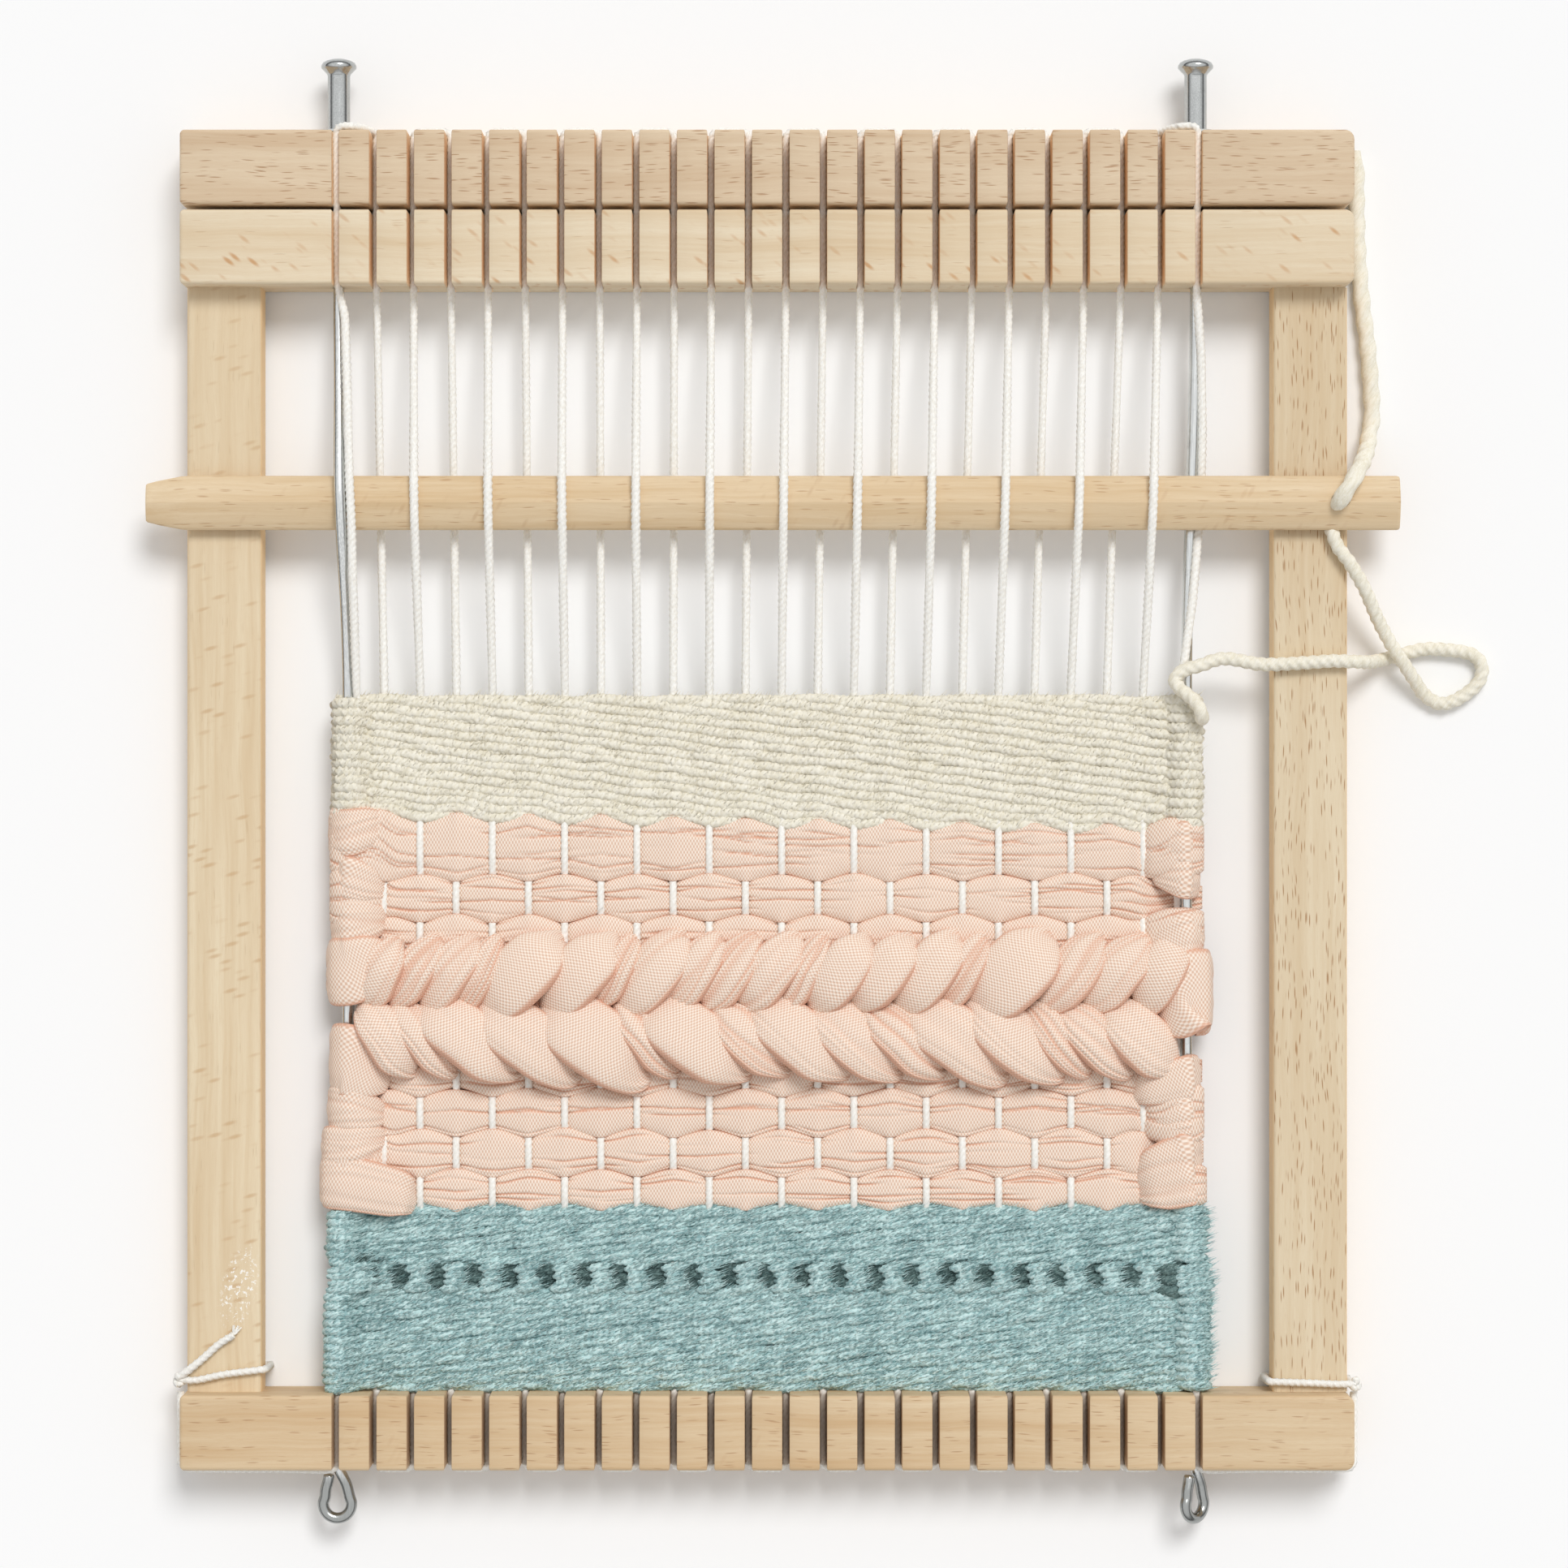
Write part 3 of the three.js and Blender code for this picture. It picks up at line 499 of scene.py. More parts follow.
def tube(points, radii, sides):
    """Rings of a round wire along points, each square to the run, with a radius for each point."""
    points = np.asarray(points, float)
    tangents = np.gradient(points, axis=0)
    tangents /= np.linalg.norm(tangents, axis=1)[:, None]
    normal = np.array((0.0, 0.0, 1.0)) if abs(tangents[0][2]) < 0.9 else np.array((1.0, 0.0, 0.0))
    turns = np.linspace(0, 2 * math.pi, sides, endpoint=False)
    rings = []
    for point, along, r in zip(points, tangents, radii):
        normal = normal - along * (normal @ along)
        normal /= np.linalg.norm(normal)
        other = np.cross(along, normal)
        rings.append(point + r * (np.outer(np.cos(turns), normal) + np.outer(np.sin(turns), other)))
    return np.array(rings)


def pulled_in(side, y):
    """How far the cloth draws an edge rod inward at a height up the loom."""
    return -side * cloth_pull * smooth_step(y, 0.02, 0.09) * (1 - smooth_step(y, cloth_top, 0.304))


def rod_centreline(side):
    """An edge rod from its top end down to the eye at its foot and on to the wire's cut end."""
    straight = [(0, y) for y in np.linspace(rod_top, -0.0105, 75)]
    neck = [(0.0002, -0.0114), (0.0011, -0.0132), (0.0021, -0.0154)]
    bowl = []
    for k in range(11):
        angle = math.radians(30 - 24 * k)
        over, up = rod_eye_radius * math.cos(angle), rod_eye_radius * math.sin(angle)
        bowl.append((over - 0.0004, rod_eye_y + up))
    cut_end = [(-0.0035, -0.0165), (-0.0029, -0.0142), (-0.0026, -0.0124)]
    foot = through([straight[-1], *neck, *bowl, *cut_end], 4)
    turn = math.radians(45) if side > 0 else 0.0
    points = [(side * edge_x + pulled_in(side, y), y, rod_level) for _, y in straight[:-1]]
    if side < 0:
        reach = 0.026
        bow = [rod_over_needle * math.exp(-(((y - needle_y) / reach) ** 2) * 0.9) for _, y, _ in points]
        points = [(x, y, z + up) for (x, y, z), up in zip(points, bow)]
    points += [(side * edge_x + a * math.cos(turn), y, rod_level - a * math.sin(turn)) for a, y in foot]
    return np.array(points)


def bright_steel(name, roughness, drawn, marks_rise):
    """Bright zinc-plated steel, with fine drawing marks, a few dull patches and painted dark reflection on the
    eye at a rod's foot.
    """
    steel = Finish(name)
    x, y, z = steel.axes(steel.place)
    marks = steel.noise(steel.point(x * 5.0, y * drawn, z * 5.0), 3.0)
    dull = steel.noise(steel.vector("SCALE", steel.place), 2.0, 0.35)
    tone = steel.mix(marks.between(0.3, 0.75), rgb(198, 200, 200), rgb(226, 228, 226))
    tone = steel.mix(dull.between(0.55, 0.75) * 0.35, tone, rgb(168, 168, 164))
    # Painted reflection: the bent eye below the bottom bar is painted dark grey, standing in for the dark room
    # it reflects.
    tone = steel.mix((1 - y.between(-15.0, -10.5)) * 0.75, tone, rgb(140, 142, 140))
    tone = steel.mix(y.between(347.0, 349.0) * 0.5, tone, rgb(150, 153, 153))
    return steel.surface(
        height=marks,
        rise=marks_rise,
        Base_Color=tone,
        Metallic=1.0,
        Roughness=roughness + dull * 0.16,
    )


rod_steel = bright_steel("rod_steel", 0.14, 0.12, 0.01)
for side, name in ((-1, "left_rod"), (1, "right_rod")):
    line = rod_centreline(side)
    radii = np.full(len(line), rod_radius)
    radii[0] = radii[-1] = 0.8 * rod_radius
    line = np.vstack([line[0] + (line[0] - line[1]) * 0.08, line, line[-1] + (line[-1] - line[-2]) * 0.2])
    radii = np.concatenate([[0.6 * rod_radius], radii, [0.6 * rod_radius]])
    rod = make_mesh(name + "_bent", *skin(tube(line, radii, 20)))
    soften(rod, 50)
    rod.data.materials.append(rod_steel)
    fit(rod, name, "steel", name)


# Washers and sleeve nuts. Each rod's threaded top stands through a washer on the loose bar and
# is drawn up by a long nut with a coned and domed head, slotted at its side.
washer_low = 0.34725
washer_high = 0.34805
washer_radius = 0.0058
washer_ease = 0.0002


def turned(name, profile, x, sides):
    """A body of revolution about an edge rod's axis: profile pairs are (radius, height up the loom)."""
    rings = []
    for radius, y in profile:
        turns = np.linspace(0, 2 * math.pi, sides, endpoint=False)
        r = max(radius, 1e-6)
        rings.append([(x + r * math.cos(t), y, rod_level - r * math.sin(t)) for t in turns])
    made = make_mesh(name, *skin(rings, closed_ends=False))
    with edited(made.data) as work:
        bmesh.ops.remove_doubles(work, verts=work.verts, dist=5e-6)
        bmesh.ops.recalc_face_normals(work, faces=work.faces)
    return made


def carve(made, cutter):
    """Cuts one mesh out of another and throws the cutter away."""
    tool = made.modifiers.new("carve", "BOOLEAN")
    tool.operation = "DIFFERENCE"
    tool.solver = "EXACT"
    tool.object = cutter
    result = computed(made)
    made.modifiers.clear()
    made.data = result
    bpy.data.objects.remove(cutter)


nut_steel = bright_steel("nut_steel", 0.1, 2.0, 0.003)
nut_shank_length = 0.0155
shank = 0.003
head = 0.00475
slot_half = 0.0012
slot_depth = 0.0008
for side, name in ((-1, "left"), (1, "right")):
    x = side * edge_x
    washer_profile = [
        (rod_hole, washer_low),
        (washer_radius - washer_ease, washer_low), (washer_radius, washer_low + washer_ease),
        (washer_radius, washer_high - washer_ease), (washer_radius - washer_ease, washer_high),
        (rod_hole, washer_high), (rod_hole, washer_low),
    ]
    washer = turned(name + "_washer_stamped", washer_profile, x, 48)
    soften(washer, 40)
    washer.data.materials.append(nut_steel)
    fit(washer, "top_bar", "steel", name + "_washer")
    top = washer_high + nut_shank_length
    nut_profile = [
        (0.0, washer_high + 0.013), (rod_hole, washer_high + 0.0125), (rod_hole, washer_high + 0.00005),
        (shank - 0.0003, washer_high + 0.00005), (shank, washer_high + 0.0004),
        (shank, top - 0.0006), (shank + 0.0002, top - 0.0001),
        (head - 0.0004, top + 0.0011), (head - 0.0001, top + 0.0014), (head, top + 0.0018),
        (head - 0.0001, top + 0.0023), (0.9 * head, top + 0.0029), (0.72 * head, top + 0.0034),
        (0.45 * head, top + 0.0038), (0.2 * head, top + 0.00395), (0.0, top + 0.004),
    ]
    nut = turned(name + "_nut_turned", nut_profile, x, 48)
    slot_rings = []
    for z in (rod_level + shank - slot_depth, rod_level + shank + 0.001):
        ring = [(x - slot_half, top - 0.0004, z), (x + slot_half, top - 0.0004, z)]
        for k in range(13):
            angle = math.pi * k / 12
            ring.append((x + slot_half * math.cos(angle), top - 0.004 - slot_half * math.sin(angle), z))
        slot_rings.append(ring)
    carve(nut, make_mesh("slot_cutter", *skin(slot_rings)))
    soften(nut, 32)
    nut.data.materials.append(nut_steel)
    fit(nut, name + "_nut", "steel", name + "_nut")


# Weaving needle. A long beech lath, rounded to a lens section, tapered at its left tip, with an
# oval eye bored aslant near its square right end.
needle_left = -0.166
needle_right = 0.169
needle_half_width = 0.00725
needle_back = 0.01255
needle_half_depth = 0.003
eye_x = 0.1523
eye_long = 0.00285
eye_short = 0.0023
eye_turn = 0.6


def needle_ring(x, width, depth):
    """The lath's section at x, ridged in front and flatter behind.
    Width and depth are shares of the lath's full width and depth."""
    half = [1.0, 0.985, 0.94, 0.85, 0.7, 0.5, 0.3, 0.14, 0.04]
    front = [(a, (1 - a**1.1) ** 0.55) for a in half]
    front += [(0.0, 1.0)] + [(-a, up) for a, up in front[::-1]]
    back = [(math.copysign(abs(a) ** 0.7, a), -((1 - a * a) ** 0.45)) for a in np.linspace(-0.96, 0.96, 13)]
    middle = needle_back + needle_half_depth
    return [
        (x, needle_y + a * needle_half_width * width, middle + up * needle_half_depth * depth)
        for a, up in front + back
    ]


needle_rings = [
    needle_ring(needle_left, 0.66, 0.42),
    needle_ring(needle_left + 0.0004, 0.71, 0.5),
    needle_ring(needle_left + 0.0035, 0.82, 0.68),
    needle_ring(needle_left + 0.0095, 0.98, 0.93),
    needle_ring(needle_left + 0.0115, 1.0, 1.0),
]
needle_rings += [needle_ring(x, 1.0, 1.0) for x in np.linspace(-0.15, 0.165, 24)]
needle_rings += [
    needle_ring(needle_right - 0.0009, 1.0, 1.0),
    needle_ring(needle_right - 0.0003, 0.98, 0.95),
    needle_ring(needle_right, 0.93, 0.86),
]
needle = make_mesh("weaving_needle_shaved", *skin(needle_rings))
eye_rings = []
around = np.linspace(0, 2 * math.pi, 28, endpoint=False)
eye_oval = [(eye_long * math.cos(t), eye_short * math.sin(t)) for t in around]
for z in (0.008, 0.024):
    lean = (z - 0.0155) * 0.25
    eye_rings.append(
        [
            (
                eye_x + lean + a * math.cos(eye_turn) - b * math.sin(eye_turn),
                needle_y + lean + a * math.sin(eye_turn) + b * math.cos(eye_turn),
                z,
            )
            for a, b in eye_oval
        ]
    )
carve(needle, make_mesh("eye_cutter", *skin(eye_rings)))
soften(needle, 9)
needle_wood = dict(
    pale=rgb(232, 211, 178), warm=rgb(211, 182, 141), fleck=rgb(186, 144, 104),
    dashes=0.6, crowd=0.4, figure=0.3, cover=0.05, slant=60, shift=300.0,
)
needle.data.materials.append(beech("needle_beech", "x", **needle_wood))
fit(needle, "needle", "beech_pale", "weaving_needle")


# Warp. One unbroken cotton thread, three strands twisted together, wound up and down through
# every kerf and drawn together a little where the weft pulls on it.
warp_radius = 0.00112
warp_level = 0.00895
loop_low = -0.01095
loop_high = 0.3482
over_needle = 0.01955
on_needle = 0.0042
edge_warp_x = 0.1102
in_low_bar = (-0.0104, 0.002, 0.0101)
in_high_bars = (0.3065, 0.316, 0.326, 0.337, 0.3475)
warp_over_odd = {
    0.0639: True, 0.0739: False, 0.0847: True, 0.0947: False, 0.1040: True,
    0.1325: True, 0.1423: False, 0.1551: True,
}


def slot_x(i, y):
    """Where a warp run stands: at its kerf in the bars, and closer to its neighbours in the cloth."""
    in_bar = i * kerf_pitch - edge_x
    in_cloth = 0.009705 * (i - (kerf_count - 1) / 2) - 0.0010
    low = smooth_step(y, 0.012, 0.058)
    high = 1 - np.clip((y - cloth_top) / (0.306 - cloth_top), 0, 1)
    return in_bar + (in_cloth - in_bar) * low * high


class Recipe(Tree):
    """A Geometry Nodes tree with named inputs, run once on a piece's guide lines."""

    def __init__(self, name, **inputs):
        self.group = bpy.data.node_groups.new(name, "GeometryNodeTree")
        sockets = self.group.interface
        sockets.new_socket("Geometry", in_out="OUTPUT", socket_type="NodeSocketGeometry")
        sockets.new_socket("Geometry", in_out="INPUT", socket_type="NodeSocketGeometry")
        for key, kind in inputs.items():
            sockets.new_socket(key, in_out="INPUT", socket_type="NodeSocket" + kind)
        super().__init__(self.group)
        source = self.nodes.new("NodeGroupInput")
        self.given = {socket.name: Reading(self, socket) for socket in source.outputs}

    def end(self, geometry):
        whole = self.node("GeometryNodeRealizeInstances", None, {0: geometry})
        inputs = {"Geometry": whole, "Material": self.given["Material"]}
        dressed = self.node("GeometryNodeSetMaterial", None, inputs)
        self.node("NodeGroupOutput", None, {0: dressed})

    def run(self, guides, name, **values):
        tool = guides.modifiers.new("recipe", "NODES")
        tool.node_group = self.group
        for item in self.group.interface.items_tree:
            if item.in_out == "INPUT" and item.name in values:
                tool[item.identifier] = values[item.name]
        mesh = computed(guides)
        mesh.name = name
        guides.modifiers.clear()
        bpy.data.objects.remove(guides)
        return placed(name, mesh)


def guide_lines(lines, thickness=None):
    """Polylines to run a recipe on, each point with its share of the full thickness."""
    mesh = bpy.data.meshes.new("guide")
    points, edges = [], []
    for line in lines:
        edges += [(len(points) + k, len(points) + k + 1) for k in range(len(line) - 1)]
        points += [tuple(p) for p in line]
    mesh.from_pydata(points, edges, [])
    shares = np.concatenate(thickness) if thickness else np.ones(len(points))
    thick = mesh.attributes.new("thickness", "FLOAT", "POINT")
    thick.data.foreach_set("value", shares.astype(np.float32))
    return placed("guide", mesh)


def spun_recipe():
    """Strands twisted into a thread along its guide line."""
    t = Recipe(
        "spun_thread", Material="Material", Step="Float", Radius="Float", Strands="Int", Groove="Float",
        Turns="Float", Flatness="Float", Fluff="Float", Sides="Int",
    )
    line = t.node("GeometryNodeMeshToCurve", None, {0: t.given["Geometry"]})
    even = {"Curve": line, "Length": t.given["Step"]}
    line = t.node("GeometryNodeResampleCurve", {"mode": "LENGTH"}, even)
    run = t.node("GeometryNodeSplineParameter", None, None, "Length")
    line = t.node(
        "GeometryNodeSetCurveTilt", None, {"Curve": line, "Tilt": run * t.given["Turns"] * (2 * math.pi)}
    )
    share = t.node("GeometryNodeInputNamedAttribute", {"data_type": "FLOAT"}, {"Name": "thickness"})
    line = t.node("GeometryNodeSetCurveRadius", None, {"Curve": line, "Radius": share})
    line = t.node(
        "GeometryNodeStoreNamedAttribute",
        {"data_type": "FLOAT_VECTOR", "domain": "POINT"},
        {"Geometry": line, "Name": "centre", "Value": t.node("GeometryNodeInputPosition")},
    )
    sides = {"Resolution": t.given["Sides"], "Radius": 1.0}
    circle = t.node("GeometryNodeCurvePrimitiveCircle", None, sides)
    around = t.node("GeometryNodeSplineParameter", None, None, "Factor") * (2 * math.pi)
    ridge = (around * t.given["Strands"]).math("COSINE")
    reach = t.given["Radius"] * (1 - (1 - ridge) * 0.5 * t.given["Groove"])
    corner = t.point(around.math("COSINE") * reach, around.math("SINE") * reach, 0.0)
    profile = t.node("GeometryNodeSetPosition", None, {"Geometry": circle, "Position": corner})
    inputs = {"Curve": line, "Profile Curve": profile, "Fill Caps": True, "Scale": share}
    body = t.node("GeometryNodeCurveToMesh", None, inputs)
    centre = t.node("GeometryNodeInputNamedAttribute", {"data_type": "FLOAT_VECTOR"}, {"Name": "centre"})
    place = t.node("GeometryNodeInputPosition")
    arm = t.vector("SUBTRACT", place, centre)
    arm = t.vector("MULTIPLY", arm, t.point(1.0, 1.0, t.given["Flatness"]))
    lump = t.noise(t.vector("MULTIPLY", place, t.point(900.0, 900.0, 900.0)), 1.0) - 0.5
    arm = t.vector("MULTIPLY", arm, t.point(*[1 + lump * t.given["Fluff"]] * 3))
    place = t.vector("ADD", centre, arm)
    body = t.node("GeometryNodeSetPosition", None, {"Geometry": body, "Position": place})
    body = t.node("GeometryNodeRemoveAttribute", None, {"Geometry": body, "Name": "centre"})
    body = t.node("GeometryNodeSetShadeSmooth", None, {0: body})
    t.end(body)
    return t


spun_thread = spun_recipe()


def through_cloth(i):
    """A run's way through the cloth: it rises over the ribbon rows that pass behind it."""
    line = [(slot_x(i, y), y, warp_level) for y in (*in_low_bar, 0.03, 0.058)]
    for y, over_odd in warp_over_odd.items():
        behind = (i % 2 == 1) != over_odd
        level = warp_level + (0.0017 if behind else -0.0008)
        line += [(slot_x(i, y + step), y + step, level) for step in (-0.0022, 0.0022)]
    return line + [(slot_x(i, y), y, warp_level) for y in (0.168, 0.19, cloth_top + 0.001)]


def edge_run(side, past_needle):
    """The first or last run, beside its edge rod in the cloth, with its own way past the needle."""
    line = [(side * edge_x, y, 0.01275) for y in in_low_bar]
    line += [(side * edge_warp_x, y, 0.0093) for y in (0.03, 0.058, 0.12, 0.185, 0.192)]
    line.append((side * edge_warp_x, cloth_top + 0.001, 0.0110))
    return [*line, *past_needle, *[(side * edge_x, y, 0.0130 + 0.1 * (y - 0.306)) for y in in_high_bars]]


def warp_run(i):
    """One warp run, from the lower loop to the upper loop. Even runs pass over the needle."""
    if i == 0:
        over = [(-0.1105, needle_y - 0.02, 0.0182), (-0.1108, needle_y - on_needle, 0.0197)]
        over += [(-0.1112, needle_y + on_needle, 0.0197), (-0.1120, 0.275, 0.0170)]
        over += [(-0.1130, 0.298, 0.0136)]
        return edge_run(-1, over)
    if i == kerf_count - 1:
        under = [(0.1116, 0.205, 0.0130), (0.1140, 0.222, 0.0122), (0.1164, needle_y, 0.0098)]
        under += [(0.1168, 0.268, 0.0100), (0.1164, 0.288, 0.0114), (0.1152, 0.302, 0.0130)]
        return edge_run(1, under)
    line = through_cloth(i)
    if i % 2 == 0:
        line += [(slot_x(i, y), y, over_needle) for y in (needle_y - on_needle, needle_y + on_needle)]
    return line + [(slot_x(i, y), y, warp_level) for y in in_high_bars]


def warp_line():
    """The whole thread: along the bottom bar, up and down through the kerfs, and along the bar again."""
    line = [(-0.1574, 0.0098, 0.0104), (-0.1575, -0.0098, 0.0098), (-0.1566, loop_low, 0.0098)]
    line += [(-0.132, loop_low, 0.0102), (-0.1185, loop_low, 0.0126)]
    for i in range(kerf_count):
        run = warp_run(i)
        goes_up = i % 2 == 0
        line += run if goes_up else run[::-1]
        if i == kerf_count - 1:
            break
        x = (i + 0.5) * kerf_pitch - edge_x
        y = loop_high if goes_up else loop_low
        from_z, to_z = (run[-1][2], warp_level) if goes_up else (warp_level, warp_level)
        if i == 0:
            line += [(x - 0.004, y + 0.0003, 0.0178), (x, y + 0.0003, 0.0166), (x + 0.0035, y, 0.0112)]
        elif i == kerf_count - 2:
            line += [(x - 0.0035, y, 0.0112), (x, y + 0.0003, 0.0166), (x + 0.004, y + 0.0003, 0.0178)]
        else:
            line += [(x - 0.0037, y, from_z), (x + 0.0037, y, to_z)]
    line += [(0.1185, loop_low, 0.0126), (0.132, loop_low, 0.0102), (0.1566, loop_low, 0.0098)]
    return line + [(0.1575, -0.0098, 0.0098), (0.1574, 0.0098, 0.0104)]


def rounded_corners(line, reach=0.0011):
    """Each corner of a thread eased into a short curve."""
    p = np.asarray(line, float)
    made = [p[0]]
    for before, corner, after in zip(p, p[1:], p[2:]):
        into, out = before - corner, after - corner
        a = corner + into * min(reach / np.linalg.norm(into), 0.45)
        b = corner + out * min(reach / np.linalg.norm(out), 0.45)
        made += [a, 0.25 * a + 0.5 * corner + 0.25 * b, b]
    return np.array([*made, p[-1]])


def cotton_finish(name):
    """Mercerised cotton: nearly smooth, with fibres along the twist, and in shade in the low kerfs."""
    cotton = Finish(name)
    x, y, z = cotton.axes(cotton.place)
    fibre = cotton.noise(cotton.point(x * 2.5, y * 2.5 * 0.4, z * 2.5), 3.0)
    tone = cotton.mix(fibre.between(0.3, 0.7), rgb(242, 238, 229), rgb(255, 254, 250))
    in_low_kerf = y.between(-10.4, -9.6) * (1 - y.between(8.6, 10.0))
    in_low_kerf = in_low_kerf * (1 - x.away_from_zero().between(117.0, 119.0))
    tone = cotton.mix(in_low_kerf * 0.6, tone, rgb(150, 134, 116))
    return cotton.surface(height=fibre, rise=0.05, Base_Color=tone, Roughness=0.85, Specular_IOR_Level=0.2)


warp_cotton = cotton_finish("warp_cotton")
cotton_twist = dict(
    Material=warp_cotton, Radius=warp_radius, Strands=3, Groove=0.2, Turns=190.0,
    Flatness=1.0, Fluff=0.05, Sides=9,
)
wound = rounded_corners(warp_line())
free = smooth_step(wound[:, 1], cloth_top, 0.2) * (1 - smooth_step(wound[:, 1], 0.3, 0.306))
warp_guide = guide_lines([wound], [1 + 0.2 * free])
warp = spun_thread.run(warp_guide, "warp_thread_wound", Step=0.0009, **cotton_twist)
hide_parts("warp_cord")
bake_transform(warp)


# Warp ends. Each end of the thread goes once round a stile's foot and is drawn into a small
# knot; the left one keeps a frayed tail.
def tie_lines(side, tail):
    """The turn round a stile's foot, its knot and, on the left, the tail that is left over."""
    inner, outer = 0.1344, 0.1567
    front, back = 0.0133, 0.0013
    y, rise = (0.0132, 1.0) if tail else (0.0121, 0.25)
    turn = [
        (outer + 0.0008, y + 0.0002, front - 0.0003),
        (outer - 0.004, y + 0.0001, front),
        ((inner + outer) / 2, y + 0.0016 * rise, front + 0.0001),
        (inner + 0.0016, y + 0.0028 * rise, front),
        (inner, y + 0.0029 * rise, front - 0.0016),
        (inner, y + 0.0027 * rise, back + 0.0016),
        (inner + 0.0016, y + 0.0024 * rise, back),
        (outer - 0.0016, y, back),
        (outer, y, back + 0.0016),
        (outer + 0.0001, y - 0.0003, front - 0.0022),
        (outer + 0.0006, y - 0.0009, front - 0.0008),
    ]
    knot = []
    for k in range(26):
        t = k / 25 * 2 * math.pi * 1.5
        knot_x = outer + 0.0009 + 0.0011 * math.sin(t) * math.cos(1.5 * t)
        knot_y = y + 0.0001 + 0.0012 * math.cos(t)
        knot.append((knot_x, knot_y, front - 0.0008 + 0.0010 * math.sin(2.2 * t)))
    lines = [turn, knot]
    if tail:
        cut_tail = [
            (outer + 0.0008, y + 0.0009, front + 0.0001), (outer - 0.0018, y + 0.0028, front + 0.0005),
            (outer - 0.0055, y + 0.0058, front + 0.0002), (outer - 0.0100, y + 0.0098, front + 0.0001),
            (outer - 0.0138, y + 0.0122, front + 0.0003),
        ]
        lines.append(cut_tail)
    return [[(side * a, b, c) for a, b, c in line] for line in lines]


for side, tail, name in ((-1, True, "left_warp_tie"), (1, False, "right_warp_tie")):
    lines = [through(line, 6) for line in tie_lines(side, tail)]
    shares = [np.ones(len(line)) for line in lines]
    shares[1] = shares[1] * 0.85
    if tail:
        shares[2] = np.linspace(1.1, 1.0, len(lines[2]))
        ray = np.random.default_rng(5)
        end = np.array(lines[2][-1])
        for _ in range(9):
            lean = [ray.uniform(*ends) for ends in ((-0.001, 0.0022), (0.0006, 0.0028), (-0.0002, 0.0009))]
            lean = np.array(lean)
            lines.append(through([end - (0, 0, 0.0001), end + 0.5 * lean, end + lean + (0, 0, -0.0002)], 4))
            shares.append(np.linspace(0.34, 0.16, len(lines[-1])))
    tie = spun_thread.run(guide_lines(lines, shares), name + "_knotted", Step=0.0006, **cotton_twist)
    fit(tie, "frame", "warp_cotton", name)


# Wool bands. Thick soft wool woven over one and under one warp, each row beaten down so hard
# that the floats over a warp close over the rows between. A row turns round the edge rod at each side.
def drift(place, seed):
    """Smooth wandering between -1 and 1 along a piece, the same at each run."""
    return np.array([noise.noise(Vector((float(p), 7.3 * seed, 0.5))) for p in np.atleast_1d(place)]) * 1.6


def edge_of_cloth(side, y):
    """How far out the cloth reaches, just past its edge rod."""
    return side * edge_x + pulled_in(side, y) + side * 0.0036


def woven_rows(seed, y0, y1, rows, first, swell, lean=0.0, fan=0.0, low_wave=0.0, high_wave=0.0):
    """The one path that a weft takes through a band, with its share of full thickness at each point.
    First is 0 where the lowest row passes over the even warps. Lean tilts the floats, fan drops the
    band's lower edge to one side, and the two waves shape its lower and upper edge."""
    line, shares = [], []
    overhang = 0.36
    spots = np.linspace(0, 1, 205)
    slots = spots * (kerf_count - 1 + 2 * overhang) - overhang
    even = np.cos(np.pi * slots)
    for r in range(rows):
        up = (r + 0.5) / rows
        over_even = (r + first) % 2 == 0
        x0, x1 = (edge_of_cloth(side, (y0 + y1) / 2) - side * 0.0008 for side in (-1, 1))
        xs = x0 + (x1 - x0) * spots
        edge = np.clip(1 - np.minimum(slots, kerf_count - 1 - slots), 0, 1)
        lag = 0.34 * drift(slots * 0.55, seed * 40 + r) * (1 - edge)
        sign = 1 if over_even else -1
        swing = np.cos(np.pi * (slots + lag)) * sign
        climb = np.sin(np.pi * (slots + lag)) * sign
        low = y0 + fan * (0.5 - spots)
        pitch = (y1 - low) / rows
        ys = low + (y1 - low) * up
        ys = ys + (low_wave * (1 - up) ** 5 + high_wave * up**5) * even * (1 - edge)
        ys = ys + lean * climb * math.sin(math.pi * up) ** 0.5 * (1 - edge)
        ys = ys + 0.0006 * drift(slots * 0.3 + 0.05 * r, seed * 50) * np.sin(math.pi * up)
        ys = ys + 0.0002 * drift(slots * 0.9, seed * 60 + r)
        level = warp_level + 0.0009 + 0.0017 * edge + (0.0019 * swell + 0.0022 * edge) * swing
        level = level + 0.0001 * drift(slots * 1.1, seed * 70 + r)
        fat = 0.84 + swell * swing + 0.16 * edge * np.clip(swing, 0, 1)
        fat = fat + 0.05 * drift(slots * 1.3, seed * 80 + r)
        points = np.column_stack([xs, ys, level])
        if r % 2 == 1:
            points, fat = points[::-1], fat[::-1]
        turn_side = 1 if r % 2 == 0 else -1
        line += list(points)
        shares += list(fat)
        if r < rows - 1:
            x = edge_of_cloth(turn_side, y0) + turn_side * (0.0003 * math.sin(2.6 * r) - 0.0002)
            line.append((x, points[-1][1] + float(pitch.mean()) / 2, 0.0110))
            shares.append(0.8)
    return np.array(line), np.array(shares)


